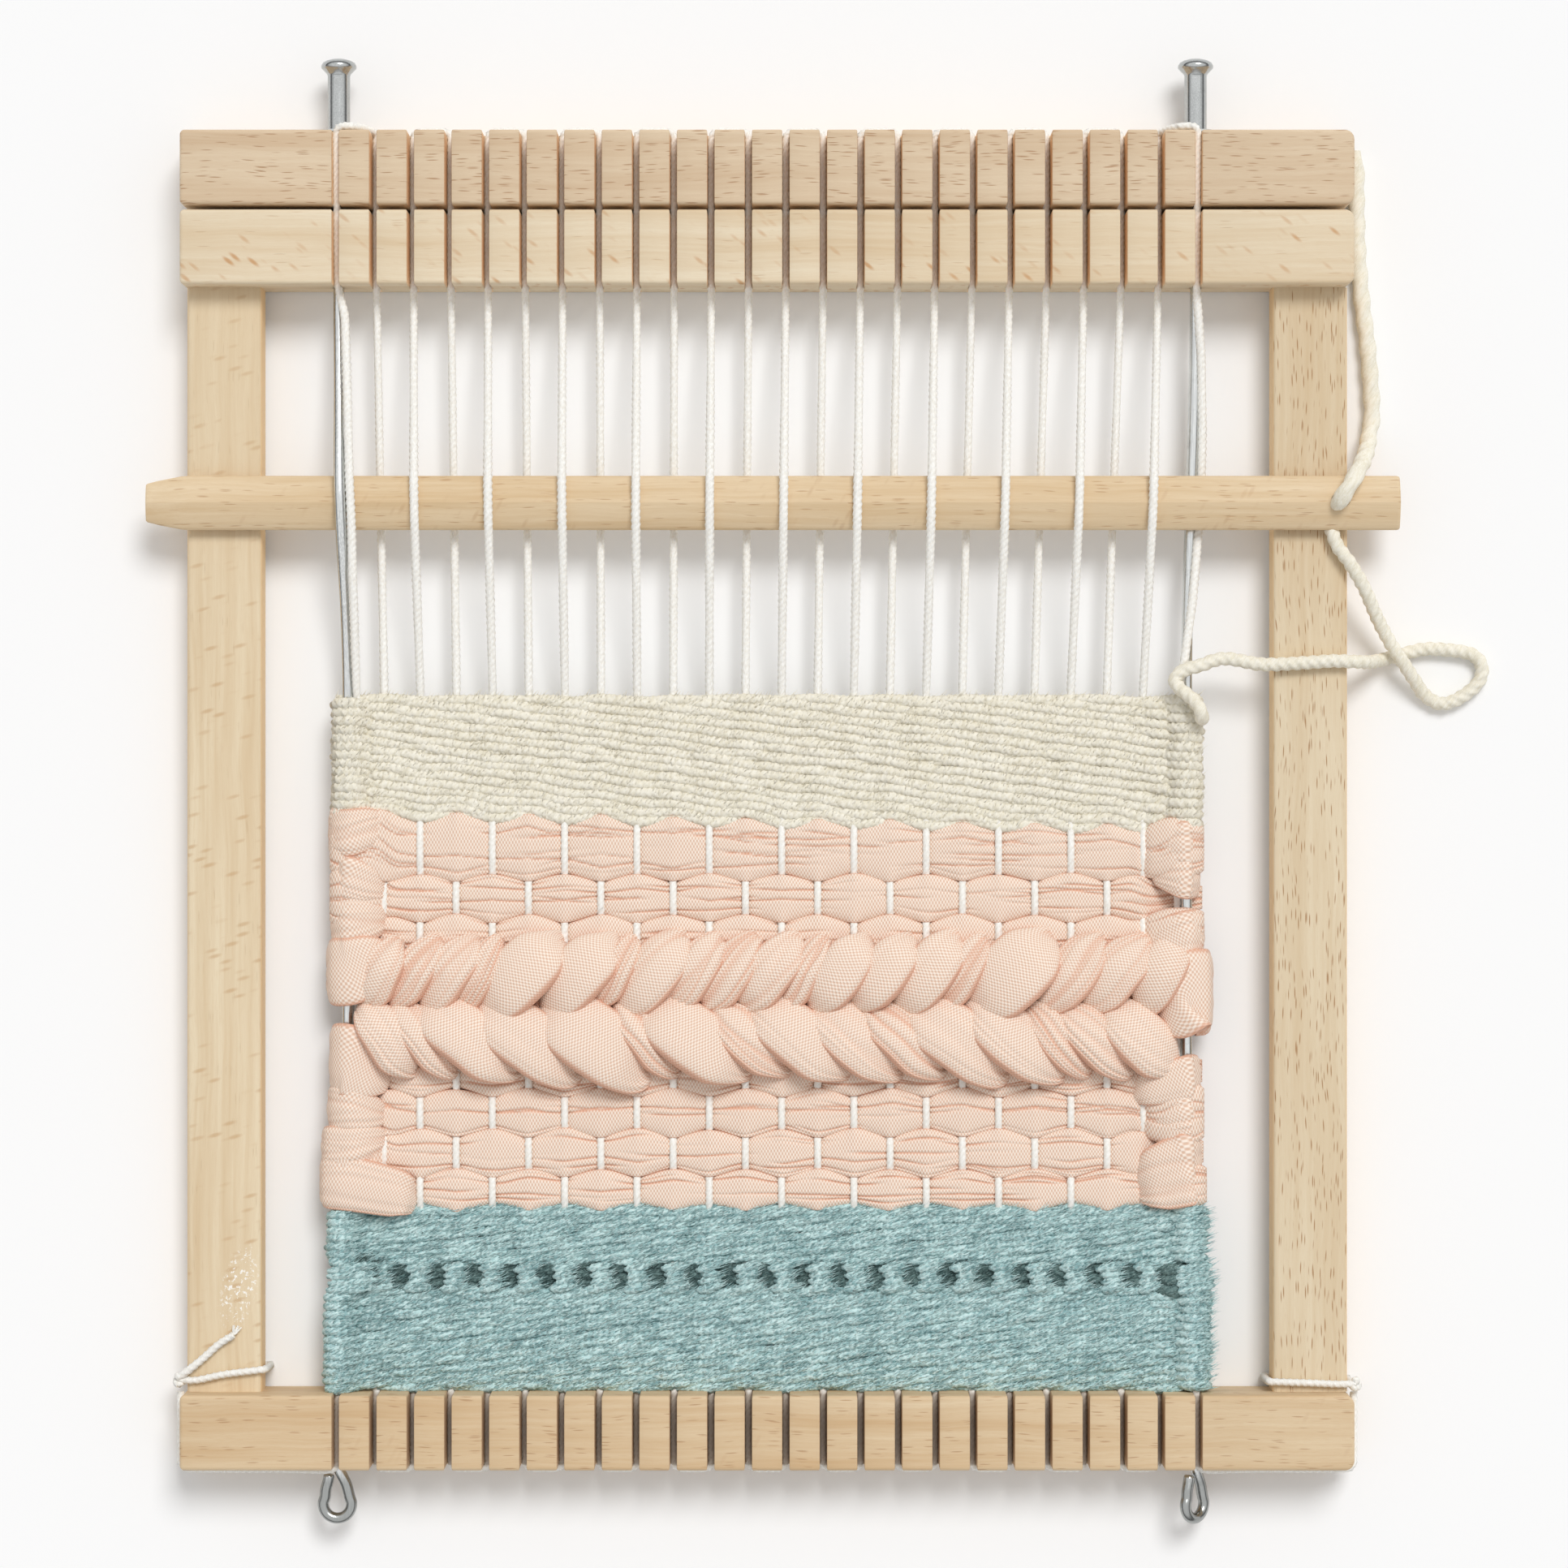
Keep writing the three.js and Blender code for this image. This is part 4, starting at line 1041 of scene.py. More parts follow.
def lint_recipe():
    """Loose fibres that lie along a wool's surface, all near one slant."""
    t = Recipe(
        "lint", Material="Material", Density="Float", Length="Float", Thickness="Float",
        Slant="Float", Seed="Int",
    )
    wool = t.given["Geometry"]
    facing = t.axes(t.node("GeometryNodeInputNormal"))[2]
    compare = {"data_type": "FLOAT", "operation": "GREATER_THAN"}
    front = t.node("FunctionNodeCompare", compare, {0: facing, 1: 0.35})
    spots = t.node(
        "GeometryNodeDistributePointsOnFaces",
        {"distribute_method": "RANDOM"},
        {"Mesh": wool, "Selection": front, "Density": t.given["Density"], "Seed": t.given["Seed"]},
    )
    thin = {"Vertices": 3, "Radius Top": 0.0, "Radius Bottom": t.given["Thickness"]}
    fibre = t.node("GeometryNodeMeshCone", {"fill_type": "NGON"}, {**thin, "Depth": t.given["Length"]})
    draws = []
    for k, (low, high) in enumerate(((1.36, 1.54), (-0.3, 0.3), (0.5, 1.2))):
        inputs = {2: low, 3: high, "Seed": t.given["Seed"] + k}
        draws.append(t.node("FunctionNodeRandomValue", {"data_type": "FLOAT"}, inputs, 1))
    pitch, spread, size = draws
    turn = t.node("FunctionNodeEulerToRotation", None, {0: t.point(0.0, pitch, t.given["Slant"] + spread)})
    laid = t.node(
        "GeometryNodeInstanceOnPoints",
        None,
        {"Points": spots, "Instance": fibre, "Rotation": turn, "Scale": t.point(size, size, size)},
    )
    laid = t.node("GeometryNodeRealizeInstances", None, {0: laid})
    laid = t.node("GeometryNodeSetShadeSmooth", None, {0: laid})
    joined = t.node("GeometryNodeJoinGeometry", None, {0: laid})
    t.links.new(wool.socket, joined.socket.node.inputs[0])
    t.end(joined)
    return t


lint = lint_recipe()


def wool_finish(name, light, middle, shadow, contrast, slant, strokes, rise):
    """Soft wool: strokes of lighter and darker fibre that lie along the twist."""
    wool = Finish(name)
    x, y, z = wool.axes(wool.place)
    turn = math.radians(slant)
    run = x * math.cos(turn) + y * math.sin(turn)
    width = y * math.cos(turn) - x * math.sin(turn)
    stroke = wool.noise(wool.point(run * 0.32, width * strokes, z * 0.8), 3.0)
    fine = wool.noise(wool.point(run * 1.0, width * strokes * 3.0, z * 2.5), 2.0)
    broad = wool.noise(wool.point(x * 0.09, y * 0.16, z * 0.2), 2.0)
    tone = wool.mix((stroke + (broad - 0.5) * 0.35).between(0.5 - contrast, 0.5 + contrast), shadow, middle)
    tone = wool.mix(fine.between(0.45, 0.72) * 0.75, tone, light)
    height = stroke * 0.65 + fine * 0.35
    return wool.surface(
        height=height, rise=rise, Base_Color=tone, Roughness=0.95, Specular_IOR_Level=0.1
    )


wool_tones = {
    "ivory_wool": dict(
        light=rgb(252, 248, 237), middle=rgb(246, 241, 226), shadow=rgb(234, 227, 206),
        contrast=0.2, slant=56, strokes=1.3, rise=0.2,
    ),
    "teal_wool": dict(
        light=rgb(240, 254, 252), middle=rgb(210, 240, 239), shadow=rgb(150, 190, 192),
        contrast=0.15, slant=26, strokes=1.5, rise=0.5,
    ),
    "dark_wool": dict(
        light=rgb(158, 182, 178), middle=rgb(116, 142, 140), shadow=rgb(78, 104, 104),
        contrast=0.16, slant=26, strokes=1.5, rise=0.5,
    ),
}
wools = {name: wool_finish(name, **tones) for name, tones in wool_tones.items()}


def warp_tufts(ray):
    """Short teal floats over each warp, that close over the dark row and leave it showing in spots."""
    lines, shares = [], []
    for i in range(kerf_count):
        for y, long in ((0.0378, 0.0036), (0.0396, 0.0025), (0.0414, 0.0023), (0.0433, 0.0034)):
            at_edge = i in (0, kerf_count - 1)
            x = slot_x(i, y) + ray.uniform(-0.0003, 0.0003)
            long = long * ray.uniform(0.88, 1.1)
            if at_edge:
                x, long = (x + 0.0020, 0.0050) if x > 0 else (x + 0.0022, 0.0064)
            lean = ray.uniform(0.0002, 0.0011)
            reach = np.linspace(-1, 1, 9)
            level = (0.0141 if at_edge else 0.0112) - 0.0014 * reach**4 + ray.uniform(-0.0001, 0.0002)
            lines.append(np.column_stack([x + reach * long, y + reach * lean, level]))
            shares.append(1.1 - 0.55 * reach**4)
    return lines, shares


wool_bands = {
    "teal_lower": ("teal_wool", dict(y0=0.0103, y1=0.0372, rows=24, first=0, swell=0.24, lean=0.0004)),
    "dark_row": ("dark_wool", dict(y0=0.0368, y1=0.0448, rows=6, first=1, swell=0.24)),
    "teal_upper": (
        "teal_wool",
        dict(y0=0.0444, y1=0.0592, rows=14, first=0, swell=0.24, lean=0.0004, high_wave=0.0009),
    ),
    "ivory_band": (
        "ivory_wool",
        dict(y0=0.1625, y1=0.1962, rows=28, first=0, swell=0.1, lean=-0.0006, fan=0.0042, low_wave=-0.0008),
    ),
}
for name, (slot, sizes) in wool_bands.items():
    line, thick = woven_rows(len(name), **sizes)
    if name == "dark_row":
        line[:, 2] -= 0.0012
        line[:, 0] *= 0.96
    lines, shares = [line], [thick]
    if name == "teal_upper":
        tufts, tuft_shares = warp_tufts(np.random.default_rng(8))
        lines, shares = lines + tufts, shares + tuft_shares
    ivory = slot == "ivory_wool"
    pitch = (sizes["y1"] - sizes["y0"]) / sizes["rows"]
    band = spun_thread.run(
        guide_lines(lines, shares),
        name + "_spun",
        Material=wools[slot],
        Step=0.0015,
        Radius=pitch * (1.45 if ivory else 1.25),
        Strands=3,
        Groove=0.12,
        Turns=150.0 if ivory else 105.0,
        Flatness=0.72,
        Fluff=0.08 if ivory else 0.2,
        Sides=12,
    )
    band = lint.run(
        band,
        name + "_woven",
        Material=wools[slot],
        Density=1.0e6 if ivory else 1.6e6,
        Length=0.0021 if ivory else 0.0030,
        Thickness=0.0001 if ivory else 0.00018,
        Slant=math.radians(56 if ivory else 26),
        Seed=len(name),
    )
    fit(band, "frame", slot, name)


# Ribbon rows. A soft tube of fine peach jersey, laid in plain weave over one and under one warp.
# It is pressed flat into panels between the warps that cross it, with pleats along some of them.
ribbon_knit_across = 0.86
ribbon_knit_along = 0.68


def jersey(name):
    """Fine jersey: rows of small knitted loops that follow the ribbon, with painted warm shade in its creases,
    along rims where pieces meet and over shaded lengths.
    """
    knit = Finish(name)
    across = knit.node("ShaderNodeUVMap", {"uv_map": "ribbon"})
    u, v, _ = knit.axes(across)
    bend = knit.noise(knit.place, 1.0, 0.11) - 0.5
    v = v + bend * 1.1
    stagger = (u * (2 * math.pi / ribbon_knit_across)).math("COSINE")
    course = (v * (math.pi / ribbon_knit_along)).math("COSINE")
    loop = (stagger * course * 0.5 + 0.5).between(0.1, 0.85)
    fold_shade = knit.node("ShaderNodeAttribute", {"attribute_name": "fold_shade"}, None, "Fac")
    wide = knit.noise(knit.place, 2.0, 0.16)
    tone = knit.mix(loop * 0.9 + 0.1, rgb(222, 182, 155), rgb(254, 239, 225))
    tone = knit.mix((wide - 0.5).away_from_zero() * 0.5, tone, rgb(243, 216, 197))
    # Painted shade: warm orange where creases, rims and shaded lengths lie.
    tone = knit.mix(fold_shade.between(0.2, 1.0) * 0.66, tone, rgb(222, 156, 122))
    return knit.surface(
        height=loop, rise=0.1, Base_Color=tone, Roughness=0.72, Specular_IOR_Level=0.3, Sheen_Weight=0.15
    )


peach_jersey = jersey("peach_jersey")


def cloth_mesh(name, grid, uv, fold_shade):
    """A closed ribbon body from rings of points, with the jersey's own coordinates and its painted shade in
    creases, at rims and on shaded parts.
    """
    count, sides = grid.shape[:2]
    points, faces = skin(grid)
    mesh = bpy.data.meshes.new(name)
    mesh.from_pydata([tuple(p) for p in points], [], faces)
    layer = mesh.uv_layers.new(name="ribbon")
    corner_point = np.zeros(len(mesh.loops), np.int64)
    mesh.loops.foreach_get("vertex_index", corner_point)
    flat_uv = uv.reshape(-1, 2)[corner_point]
    starts = np.zeros(len(mesh.polygons), np.int64)
    mesh.polygons.foreach_get("loop_start", starts)
    whole_turn = uv[0, :, 1].max() * sides / (sides - 1)
    quads = starts[: (count - 1) * sides].reshape(count - 1, sides)
    for column in (1, 2):
        flat_uv[quads[:, -1] + column, 1] = whole_turn
    layer.data.foreach_set("uv", flat_uv.astype(np.float32).ravel())
    fold_shade_layer = mesh.attributes.new("fold_shade", "FLOAT", "POINT")
    fold_shade_layer.data.foreach_set("value", fold_shade.astype(np.float32).ravel())
    with edited(mesh) as work:
        bmesh.ops.triangulate(work, faces=[face for face in work.faces if len(face.verts) > 4])
        bmesh.ops.recalc_face_normals(work, faces=work.faces)
    mesh.shade_smooth()
    mesh.materials.append(peach_jersey)
    return mesh


def ribbon_places(along_steps, round_steps):
    """How far each point of a ribbon lies along it and round it, in millimetres."""
    run, girth = (np.concatenate([[0], np.cumsum(steps)]) * 1000 for steps in (along_steps, round_steps))
    return np.stack(np.broadcast_arrays(run[:, None], girth[None, :]), axis=-1)


def pressed_section(front, back):
    """Points round a ribbon pressed nearly flat: across from -1 to 1, and out from -1 to 1."""
    turn = np.radians(np.linspace(-82, 82, front))
    across = np.sin(turn) / math.sin(math.radians(82)) * 0.985
    out = (1 - np.abs(across) ** 3.4) ** (1 / 2.6)
    low_turn = np.radians(np.linspace(80, -80, back))
    low_across = np.sin(low_turn)
    low_out = -((1 - np.abs(low_across) ** 3.0) ** (1 / 2.6))
    return np.concatenate([across, low_across]), np.concatenate([out, low_out])


def ribbon_wrap(path, widths, depths, sides, steps, seed, smoothness, tilt, shade=0.0, flat=None):
    """One wrap: a flattened length of ribbon along a path, creased lengthwise towards its tucked ends.
    Smoothness 1 keeps its middle plain. Flat is the way across the ribbon, where the path alone
    leaves that open, and shade is painted shade over the whole length, as warm as in a crease.
    The creases and the rims where wraps overlap are painted in warm shade too."""
    line = through(path, steps)
    t = np.linspace(0, 1, len(line))
    keys = np.linspace(0, 1, len(widths))
    width = np.interp(t, keys, widths)
    depth = np.interp(t, keys, depths)
    for _ in range(6):
        width[1:-1] = (width[:-2] + 2 * width[1:-1] + width[2:]) / 4
        depth[1:-1] = (depth[:-2] + 2 * depth[1:-1] + depth[2:]) / 4
    tangent = np.gradient(line, axis=0)
    tangent /= np.linalg.norm(tangent, axis=1)[:, None]
    side = np.cross(tangent, np.array((0.0, 0.0, 1.0)))
    if flat is not None:
        side = np.array(flat) - tangent * (tangent @ np.array(flat))[:, None]
    side /= np.linalg.norm(side, axis=1)[:, None]
    up = np.cross(side, tangent)
    side, up = side * math.cos(tilt) + up * math.sin(tilt), up * math.cos(tilt) - side * math.sin(tilt)
    front = 3 * sides // 4
    turns = np.concatenate([np.linspace(0.02, 0.98, front), np.linspace(1.07, 1.93, sides - front)]) * np.pi
    ray = np.random.default_rng(seed)
    grid = np.zeros((len(line), sides, 3))
    fold_shade = np.zeros((len(line), sides))
    ends = np.abs(2 * t - 1)
    creases = [(0.17 * np.pi, -0.15, 0.9, 0.09), (0.84 * np.pi, 0.2, 0.9, 0.09)]
    for _ in range(int(round(8 - 4 * smoothness))):
        place = ray.uniform(0.2, 0.8) * np.pi
        creases.append((place, ray.uniform(-0.9, 0.9), ray.uniform(0.5, 1.0), ray.uniform(0.07, 0.12)))
    across = np.sign(np.cos(turns)) * np.abs(np.cos(turns)) ** 0.8
    out = np.sign(np.sin(turns)) * np.abs(np.sin(turns)) ** 0.74
    for k, turn in enumerate(turns):
        # Painted shade: a thin warm line along the rims, where one wrap lies over the next, and warm creases.
        rim_shade = 0.95 * math.exp(-(((1 - abs(across[k])) / 0.12) ** 2))
        crease = np.full(len(line), max(shade, rim_shade))
        shrink = 1.0
        for place, twist, power, narrow in creases:
            gap = (turn - place - twist * (t - 0.5) + np.pi) % (2 * np.pi) - np.pi
            reach = (1 - smoothness) * 0.95 + smoothness * np.clip(2.4 * ends - 1.0, 0, 1)
            dent = power * reach * np.exp(-((gap / (narrow * (1 + 0.9 * ends))) ** 2))
            crease = np.maximum(crease, 0.8 * dent)
            shrink = np.minimum(shrink, 1 - 0.34 * dent)
        grid[:, k] = line + side * (width * across[k])[:, None] + up * (depth * out[k] * shrink)[:, None]
        fold_shade[:, k] = crease
    along_steps = np.linalg.norm(np.diff(line, axis=0), axis=1)
    round_steps = np.hypot(np.diff(across) * width.max() * 0.92, np.diff(out) * depth.max())
    return grid, ribbon_places(along_steps, round_steps), fold_shade


def joined(name, grids):
    """One mesh object out of several ribbon bodies."""
    first, *others = [cloth_mesh(f"{name}_{k}", *grid) for k, grid in enumerate(grids)]
    with edited(first) as work:
        for mesh in others:
            work.from_mesh(mesh)
    return placed(name, first)


def edge_turn(seed, side, low, high, outer, inner, rise, smoothness=0.35, lift=0.0):
    """A turn of the ribbon round an edge rod, from one row into the next, folded over the rod."""
    middle, half = (low + high) / 2, (high - low) / 2
    path = [
        (side * (inner - 0.0012), middle + 1.15 * rise, 0.0086),
        (side * inner, middle + rise, 0.0110),
        (side * (inner + 0.0035), middle + 0.62 * rise, 0.0134 + lift),
        (side * (edge_x - 0.0035), middle + 0.1 * rise, 0.0144 + lift),
        (side * (outer - 0.0032), middle, 0.0131 + lift),
        (side * (outer - 0.0014), middle, 0.0108),
        (side * (outer - 0.0004), middle, 0.0082),
    ]
    widths = [half * share for share in (0.3, 0.6, 0.88, 1.0, 1.0, 0.95, 0.75)]
    depths = [0.0010, 0.0016, 0.0020, 0.0021, 0.0020, 0.0017, 0.0010]
    flat = (0.0, -side, 0.0)
    return ribbon_wrap(path, widths, depths, 64, 8, seed, smoothness, tilt=0.0, flat=flat)


def ribbon_row(y0, y1, over_odd, low_wave, high_wave, slope, wraps_left, shade, seed):
    """One row: panels between the warps that cross it, pleats that wander along it, and loops
    round the edge rods that spread over the rows beside it. The waves are how far its panels
    bulge down and up, and slope is how much lower its right end is. Its pleats and hems are painted
    in warm shade, and shade paints the braid's shadow over its upper part."""
    across, out = pressed_section(front=54, back=18)
    overhang = 0.37
    slots = np.linspace(-overhang, kerf_count - 1 + overhang, 560)
    middle = (y0 + y1) / 2
    x0, x1 = edge_of_cloth(-1, middle) - 0.0011, edge_of_cloth(1, middle) + 0.0009
    low_x, high_x = slot_x(0, middle), slot_x(kerf_count - 1, middle)
    xs = slot_x(np.clip(slots, 0, kerf_count - 1), middle)
    xs = np.where(slots < 0, low_x + (slots / overhang) * (low_x - x0), xs)
    xs = np.where(slots > kerf_count - 1, high_x + (slots - kerf_count + 1) / overhang * (x1 - high_x), xs)
    swing = np.cos(np.pi * slots) * (-1 if over_odd else 1)
    to_over = np.abs((slots - (1 if over_odd else 0) + 1) % 2 - 1)
    to_under = 1 - to_over
    from_left, from_right = slots, kerf_count - 1 - slots
    near = 1 - smooth_step(np.minimum(from_left, from_right), 0.15, 1.5)
    edge = np.clip(1 - np.minimum(from_left, from_right), 0, 1)
    over_here = np.where(from_left < from_right, 1 if wraps_left else 0, 1 if over_odd else 0)
    loop = near * (2 * over_here - 1)
    dip = np.exp(-((to_under / 0.12) ** 2)) * (1 - edge)
    rise = np.exp(-((to_over / 0.2) ** 2)) * (1 - edge)
    puff = 1 + 0.25 * drift(slots * 0.35, seed)
    top = 0.0109 + 0.0010 * (1 - to_over) * puff - 0.0012 * dip
    top = top + near * np.where(over_here == 1, 0.0040, -0.0024)
    bottom = 0.0062 - 0.0011 * (1 - to_under) + 0.0036 * rise
    bottom = bottom + near * np.where(over_here == 1, 0.0012, -0.0006)
    past_last = np.clip(np.maximum(-slots, slots - kerf_count + 1) / 0.385, 0, 1)
    end = np.sqrt(np.clip(1 - past_last**2, 0.02, 1))
    level = (top + bottom) / 2
    depth = (top - bottom) / 2 * end
    spread = 0.0030 * np.where(loop > 0, loop, 0.6 * loop)
    low = y0 - low_wave * swing * (1 - near) + 0.0003 * drift(slots * 0.8, seed + 3)
    high = y1 + high_wave * swing * (1 - near) + 0.0003 * drift(slots * 0.8, seed + 5)
    high = high - slope * (slots / (kerf_count - 1) - 0.5)
    if low_wave > 0.0008:
        low = low - spread
    if high_wave > 0.0007:
        high = high + spread
    half = (high - low) / 2 * (0.62 + 0.38 * end) + 0.00045
    centre = (high + low) / 2
    ray = np.random.default_rng(40 + seed)
    tall = y1 - y0
    slant = ray.uniform(0.3, 0.7)
    pleats = []
    for _ in range(max(4, int(round(tall / 0.0011)))):
        place = ray.uniform(-0.88, 0.88)
        bow = ray.uniform(-0.2, 0.2)
        wander = place + 0.14 * drift(slots * 0.4, ray.integers(900)) + bow * (1 - to_over)
        wander = wander + near * slant * np.where(from_left < from_right, 1, -1) * (1 - edge)
        power = np.clip(1.9 * drift(slots * 0.45, ray.integers(900)) + 0.08 + 0.5 * near, 0.0, 1.0)
        pleats.append((wander, power))
    grid = np.zeros((len(slots), len(across), 3))
    fold_shade = np.zeros((len(slots), len(across)))
    grid[:, :, 0] = xs[:, None]
    pleat_width, pleat_depth, hem_width = 0.00028, 0.0008, 0.0004
    for k, (a, o) in enumerate(zip(across, out)):
        crease = np.zeros(len(slots))
        for wander, power in pleats:
            gap = (a - wander) * half
            crease = np.maximum(crease, power * np.exp(-((gap / pleat_width) ** 2)))
        crease = crease * (o > 0) * min(1.0, 3 * (1 - abs(a)))
        # Painted shade: a warm line along the hems where rows meet, warm pleats, and the braid's shadow over
        # the upper part where shade is given.
        hem_shade = 0.85 * np.exp(-(((1 - abs(a)) * half / hem_width) ** 2))
        grid[:, k, 1] = centre + half * a
        grid[:, k, 2] = level + depth * o - pleat_depth * crease
        fold_shade[:, k] = np.maximum(np.maximum(crease, hem_shade), shade * smooth_step(a, -0.7, 0.6))
    round_steps = np.hypot(np.diff(across) * tall / 2, np.diff(out) * 0.002)
    return grid, ribbon_places(np.diff(xs), round_steps), fold_shade


# Columns: y0, y1, over_odd, low_wave, high_wave, slope, wraps_left and shade, which paints the lower braid's
# shadow on row 4.
ribbon_rows = {
    "ribbon_row_7": (0.05950, 0.06830, True, 0.0007, 0.0009, 0.0, True, 0.0),
    "ribbon_row_6": (0.06860, 0.07910, False, 0.0009, 0.0009, 0.0, True, 0.0),
    "ribbon_row_5": (0.07940, 0.09000, True, 0.0009, 0.0009, 0.0, False, 0.0),
    "ribbon_row_4": (0.09030, 0.09900, False, 0.0009, 0.0004, 0.0, False, 0.62),
    "ribbon_row_3": (0.12850, 0.13670, True, 0.0004, 0.0009, 0.0, False, 0.0),
    "ribbon_row_2": (0.13700, 0.14760, False, 0.0009, 0.0008, 0.0, True, 0.0),
    "ribbon_row_1": (0.14790, 0.16260, True, 0.0008, 0.0008, 0.0040, True, 0.0),
}
row_turns = {
    "ribbon_row_1": [
        (-1, 0.1533, 0.1662, 0.1177, 0.1035, 0.0022), (1, 0.1500, 0.1632, 0.1156, 0.1050, -0.0004),
        (1, 0.1420, 0.1530, 0.1160, 0.1050, 0.0012),
    ],
    "ribbon_row_2": [(-1, 0.1418, 0.1538, 0.1164, 0.1040, -0.0028)],
    "ribbon_row_3": [
        (-1, 0.1286, 0.1424, 0.1170, 0.1040, 0.0010), (1, 0.1270, 0.1394, 0.1172, 0.1030, -0.0050),
    ],
    "ribbon_row_4": [
        (1, 0.0885, 0.1006, 0.1162, 0.1000, -0.0042, 0.8),
        (-1, 0.0893, 0.1090, 0.1174, 0.1030, -0.0040, 0.9),
    ],
    "ribbon_row_5": [
        (-1, 0.0800, 0.0925, 0.1179, 0.1040, -0.0018), (1, 0.0785, 0.0900, 0.1162, 0.1040, -0.0030),
    ],
    "ribbon_row_6": [(-1, 0.0700, 0.0815, 0.1195, 0.1040, 0.0020)],
    "ribbon_row_7": [
        (-1, 0.0590, 0.0740, 0.1200, 0.0960, -0.0050), (1, 0.0600, 0.0800, 0.1164, 0.1010, -0.0045),
    ],
}
for name, row_sizes in ribbon_rows.items():
    row_number = int(name[-1])
    parts = [ribbon_row(*row_sizes, row_number)]
    parts += [edge_turn(10 * row_number + k, *turn) for k, turn in enumerate(row_turns[name])]
    fit(joined(name + "_laid", parts), "frame", "peach_ribbon", name)


# Braid. The same ribbon wrapped forward over two warps and back under one, in two rows that lean
# opposite ways, so that they lie together like a plait. The wraps are fuller than the rows.
def braid_row(y0, y1, lean, slope, left, right, sizes, seed):
    """A row of slanting wraps, each tucked under the next at both ends, and the length that runs
    behind. Sizes holds each wrap's share of the row's width and its smoothness."""
    middle = (y0 + y1) / 2
    total = sum(size for size, _ in sizes)
    ray = np.random.default_rng(seed)
    # The length behind is painted in warm shade, where the rows leave gaps down to it.
    behind_y = 0.1138 + lean * 0.0012
    behind = [(x, behind_y, 0.0104) for x in np.linspace(left + 0.002, right - 0.002, 5)]
    pieces = [ribbon_wrap(behind, [0.0034] * 4, [0.0014] * 4, 32, 14, seed, 0.6, tilt=0.0, shade=0.85)]
    x = left
    reach = (y1 - y0) / 2
    for k, (size, smoothness) in enumerate(sizes):
        wide = (right - left) * size / total
        cx = x + wide / 2
        x += wide
        inner = min(1.0, 0.35 + min(cx - left, right - cx) / 0.016)
        a = lean * (slope * min(wide, 0.017) + 0.0014) * inner
        b = reach * ray.uniform(0.93, 1.03)
        high = 0.0150 + 0.0010 * smoothness + ray.uniform(-0.0004, 0.0004)
        path = [
            (cx - 1.25 * a, middle - 0.90 * b, 0.0092),
            (cx - 1.00 * a, middle - 0.84 * b, 0.0122),
            (cx - 0.55 * a, middle - 0.50 * b, high - 0.0009),
            (cx, middle + ray.uniform(-0.0006, 0.0006), high),
            (cx + 0.55 * a, middle + 0.50 * b, high - 0.0009),
            (cx + 1.00 * a, middle + 0.84 * b, 0.0122),
            (cx + 1.25 * a, middle + 0.90 * b, 0.0092),
        ]
        fat = 0.40 * wide + 0.0022
        first, last = ray.uniform(0.45, 0.82), ray.uniform(0.4, 0.72)
        widths = [0.3 * fat, first * fat, 0.97 * fat, fat, 0.95 * fat, last * fat, 0.3 * fat]
        deep = 0.0034 + 0.0004 * smoothness
        depths = [0.0013, 0.0026, deep * 0.96, deep, deep * 0.96, 0.0026, 0.0013]
        tilt = math.radians(lean * ray.uniform(13, 21))
        pieces.append(ribbon_wrap(path, widths, depths, 80, 9, seed * 31 + k, smoothness, tilt))
    return pieces


braid_rows = {
    "soumak_upper": (
        0.1132, 0.1318, 1, 0.46, -0.1078, 0.1108,
        [(0.9, 0.3), (0.85, 0.0), (1.0, 0.1), (0.6, 0.0), (1.6, 1.0), (1.45, 0.9), (0.55, 0.0), (1.3, 0.3),
         (0.9, 0.2), (1.0, 0.0), (1.1, 0.3), (0.7, 0.0), (1.15, 0.8), (1.15, 0.8), (1.2, 0.6), (0.7, 0.0),
         (1.9, 0.9), (1.2, 0.0), (1.2, 0.2), (1.1, 0.5)],
        3,
    ),
    "soumak_lower": (
        0.0956, 0.1140, -1, 0.62, -0.1072, 0.1072,
        [(1.0, 0.5), (0.8, 0.2), (1.4, 0.8), (1.5, 0.8), (1.8, 1.0), (0.8, 0.0), (1.6, 1.0), (1.1, 0.1),
         (1.4, 0.7), (1.3, 0.4), (1.1, 0.0), (1.5, 0.6), (1.4, 0.6), (0.8, 0.0), (1.0, 0.2), (1.3, 0.6)],
        4,
    ),
}
braid_turns = {
    "soumak_upper": [
        (1, 0.1056, 0.1290, 0.1196, 0.1055, -0.0050, 0.85, 0.0012),
        (-1, 0.1134, 0.1318, 0.1182, 0.1030, 0.0036, 0.85, 0.0008),
    ],
    "soumak_lower": [],
}
for name, row_sizes in braid_rows.items():
    parts = braid_row(*row_sizes)
    parts += [edge_turn(90 + k, *turn) for k, turn in enumerate(braid_turns[name])]
    fit(joined(name + "_plaited", parts), "frame", "peach_ribbon", name)


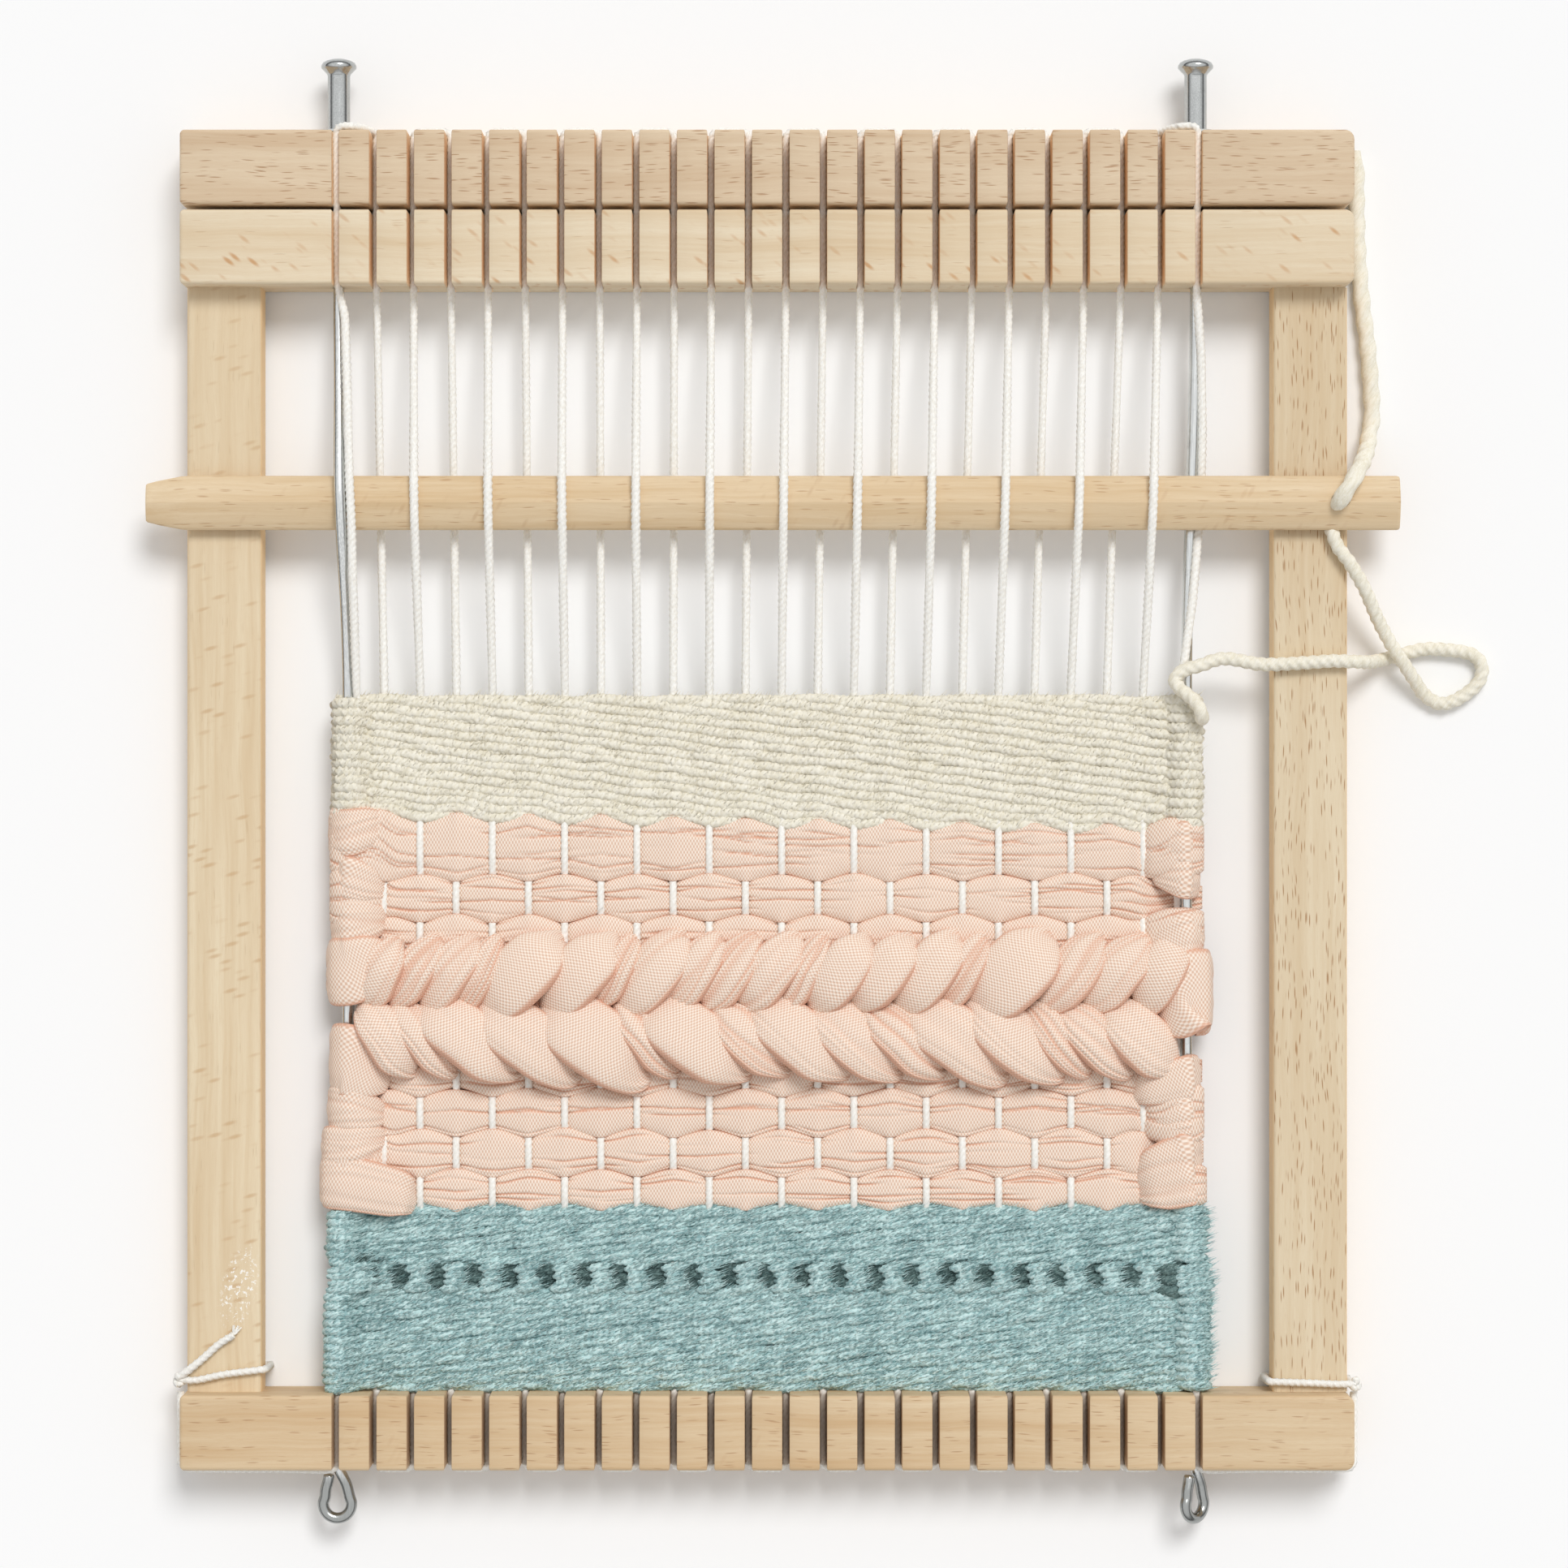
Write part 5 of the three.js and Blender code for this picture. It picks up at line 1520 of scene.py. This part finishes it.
# Weft yarn. Ivory wool of three strands, free between the cloth's upper corner and the needle's
# eye, and doubled beyond the eye, where it lies on the table beside the bars.
yarn_diameter = 0.0036
tail_diameter = 0.0044
yarn_route = [
    (116, 190.4, 16.2), (116, 190.6, 17.8), (115.4, 192.6, 19), (113.4, 195.6, 18.3), (110.2, 198.4, 16.8),
    (109, 200.8, 16), (111.2, 203.2, 16), (115.8, 204.6, 16.2), (122.3, 206.4, 15.6), (132.3, 204.9, 14.8),
    (142.3, 205.2, 14.5), (151.2, 205.8, 14.5), (157.5, 205.6, 13.6), (161.6, 205.6, 9.4), (165.4, 206.3, 4.6),
    (169.8, 207.4, 2.2), (177.3, 209.3, 1.9), (184.1, 209.1, 1.9), (190.3, 208, 1.9), (193.1, 204.9, 1.9),
    (192.3, 200.5, 1.9), (187.6, 196.4, 1.9), (182.4, 194.6, 1.9), (177.8, 196.8, 2.2), (174.2, 201.4, 4.6),
    (170.6, 206.4, 6.9), (167.3, 211.4, 7.6), (163.8, 217.5, 9.6), (159.8, 225.5, 13.2), (155.8, 232, 14.8),
    (152.6, 236.4, 14.6), (151.3, 239.9, 14.3), (150.9, 241.2, 13.8), (150.7, 242.4, 13.4),
]
tail_route = [
    (152.3, 248, 15.6), (152.3, 248, 18.5), (152.5, 248.4, 20.4), (153.6, 250.2, 21.6), (155.4, 253, 21.4),
    (157.7, 256.8, 19.4), (159.8, 260.2, 14), (161.5, 263.8, 7.6), (162.6, 268, 3.3), (163.4, 274, 2.4),
    (162.3, 290, 2.4), (160.7, 303, 2.4), (159.5, 318, 2.4), (159.2, 332, 2.4), (159.1, 344, 2.4),
]


for name, route, diameter, strands, twist in (
    ("weft_yarn_loop", yarn_route, yarn_diameter, 3, 120.0),
    ("weft_yarn_tail", tail_route, tail_diameter, 2, 75.0),
):
    line = through(np.array(route) / 1000, 8)
    thick = 0.5 + 0.5 * smooth_step(np.linspace(1, 0, len(line)), 0.0, 0.03)
    yarn = spun_thread.run(
        guide_lines([line], [thick]),
        name + "_spun",
        Material=wools["ivory_wool"],
        Step=0.0005,
        Radius=0.54 * diameter,
        Strands=strands,
        Groove=0.15,
        Turns=twist,
        Flatness=1.0,
        Fluff=0.12,
        Sides=18,
    )
    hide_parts(name)
    loop = name == "weft_yarn_loop"
    if loop:
        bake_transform(yarn)
    else:
        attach(yarn, "needle")
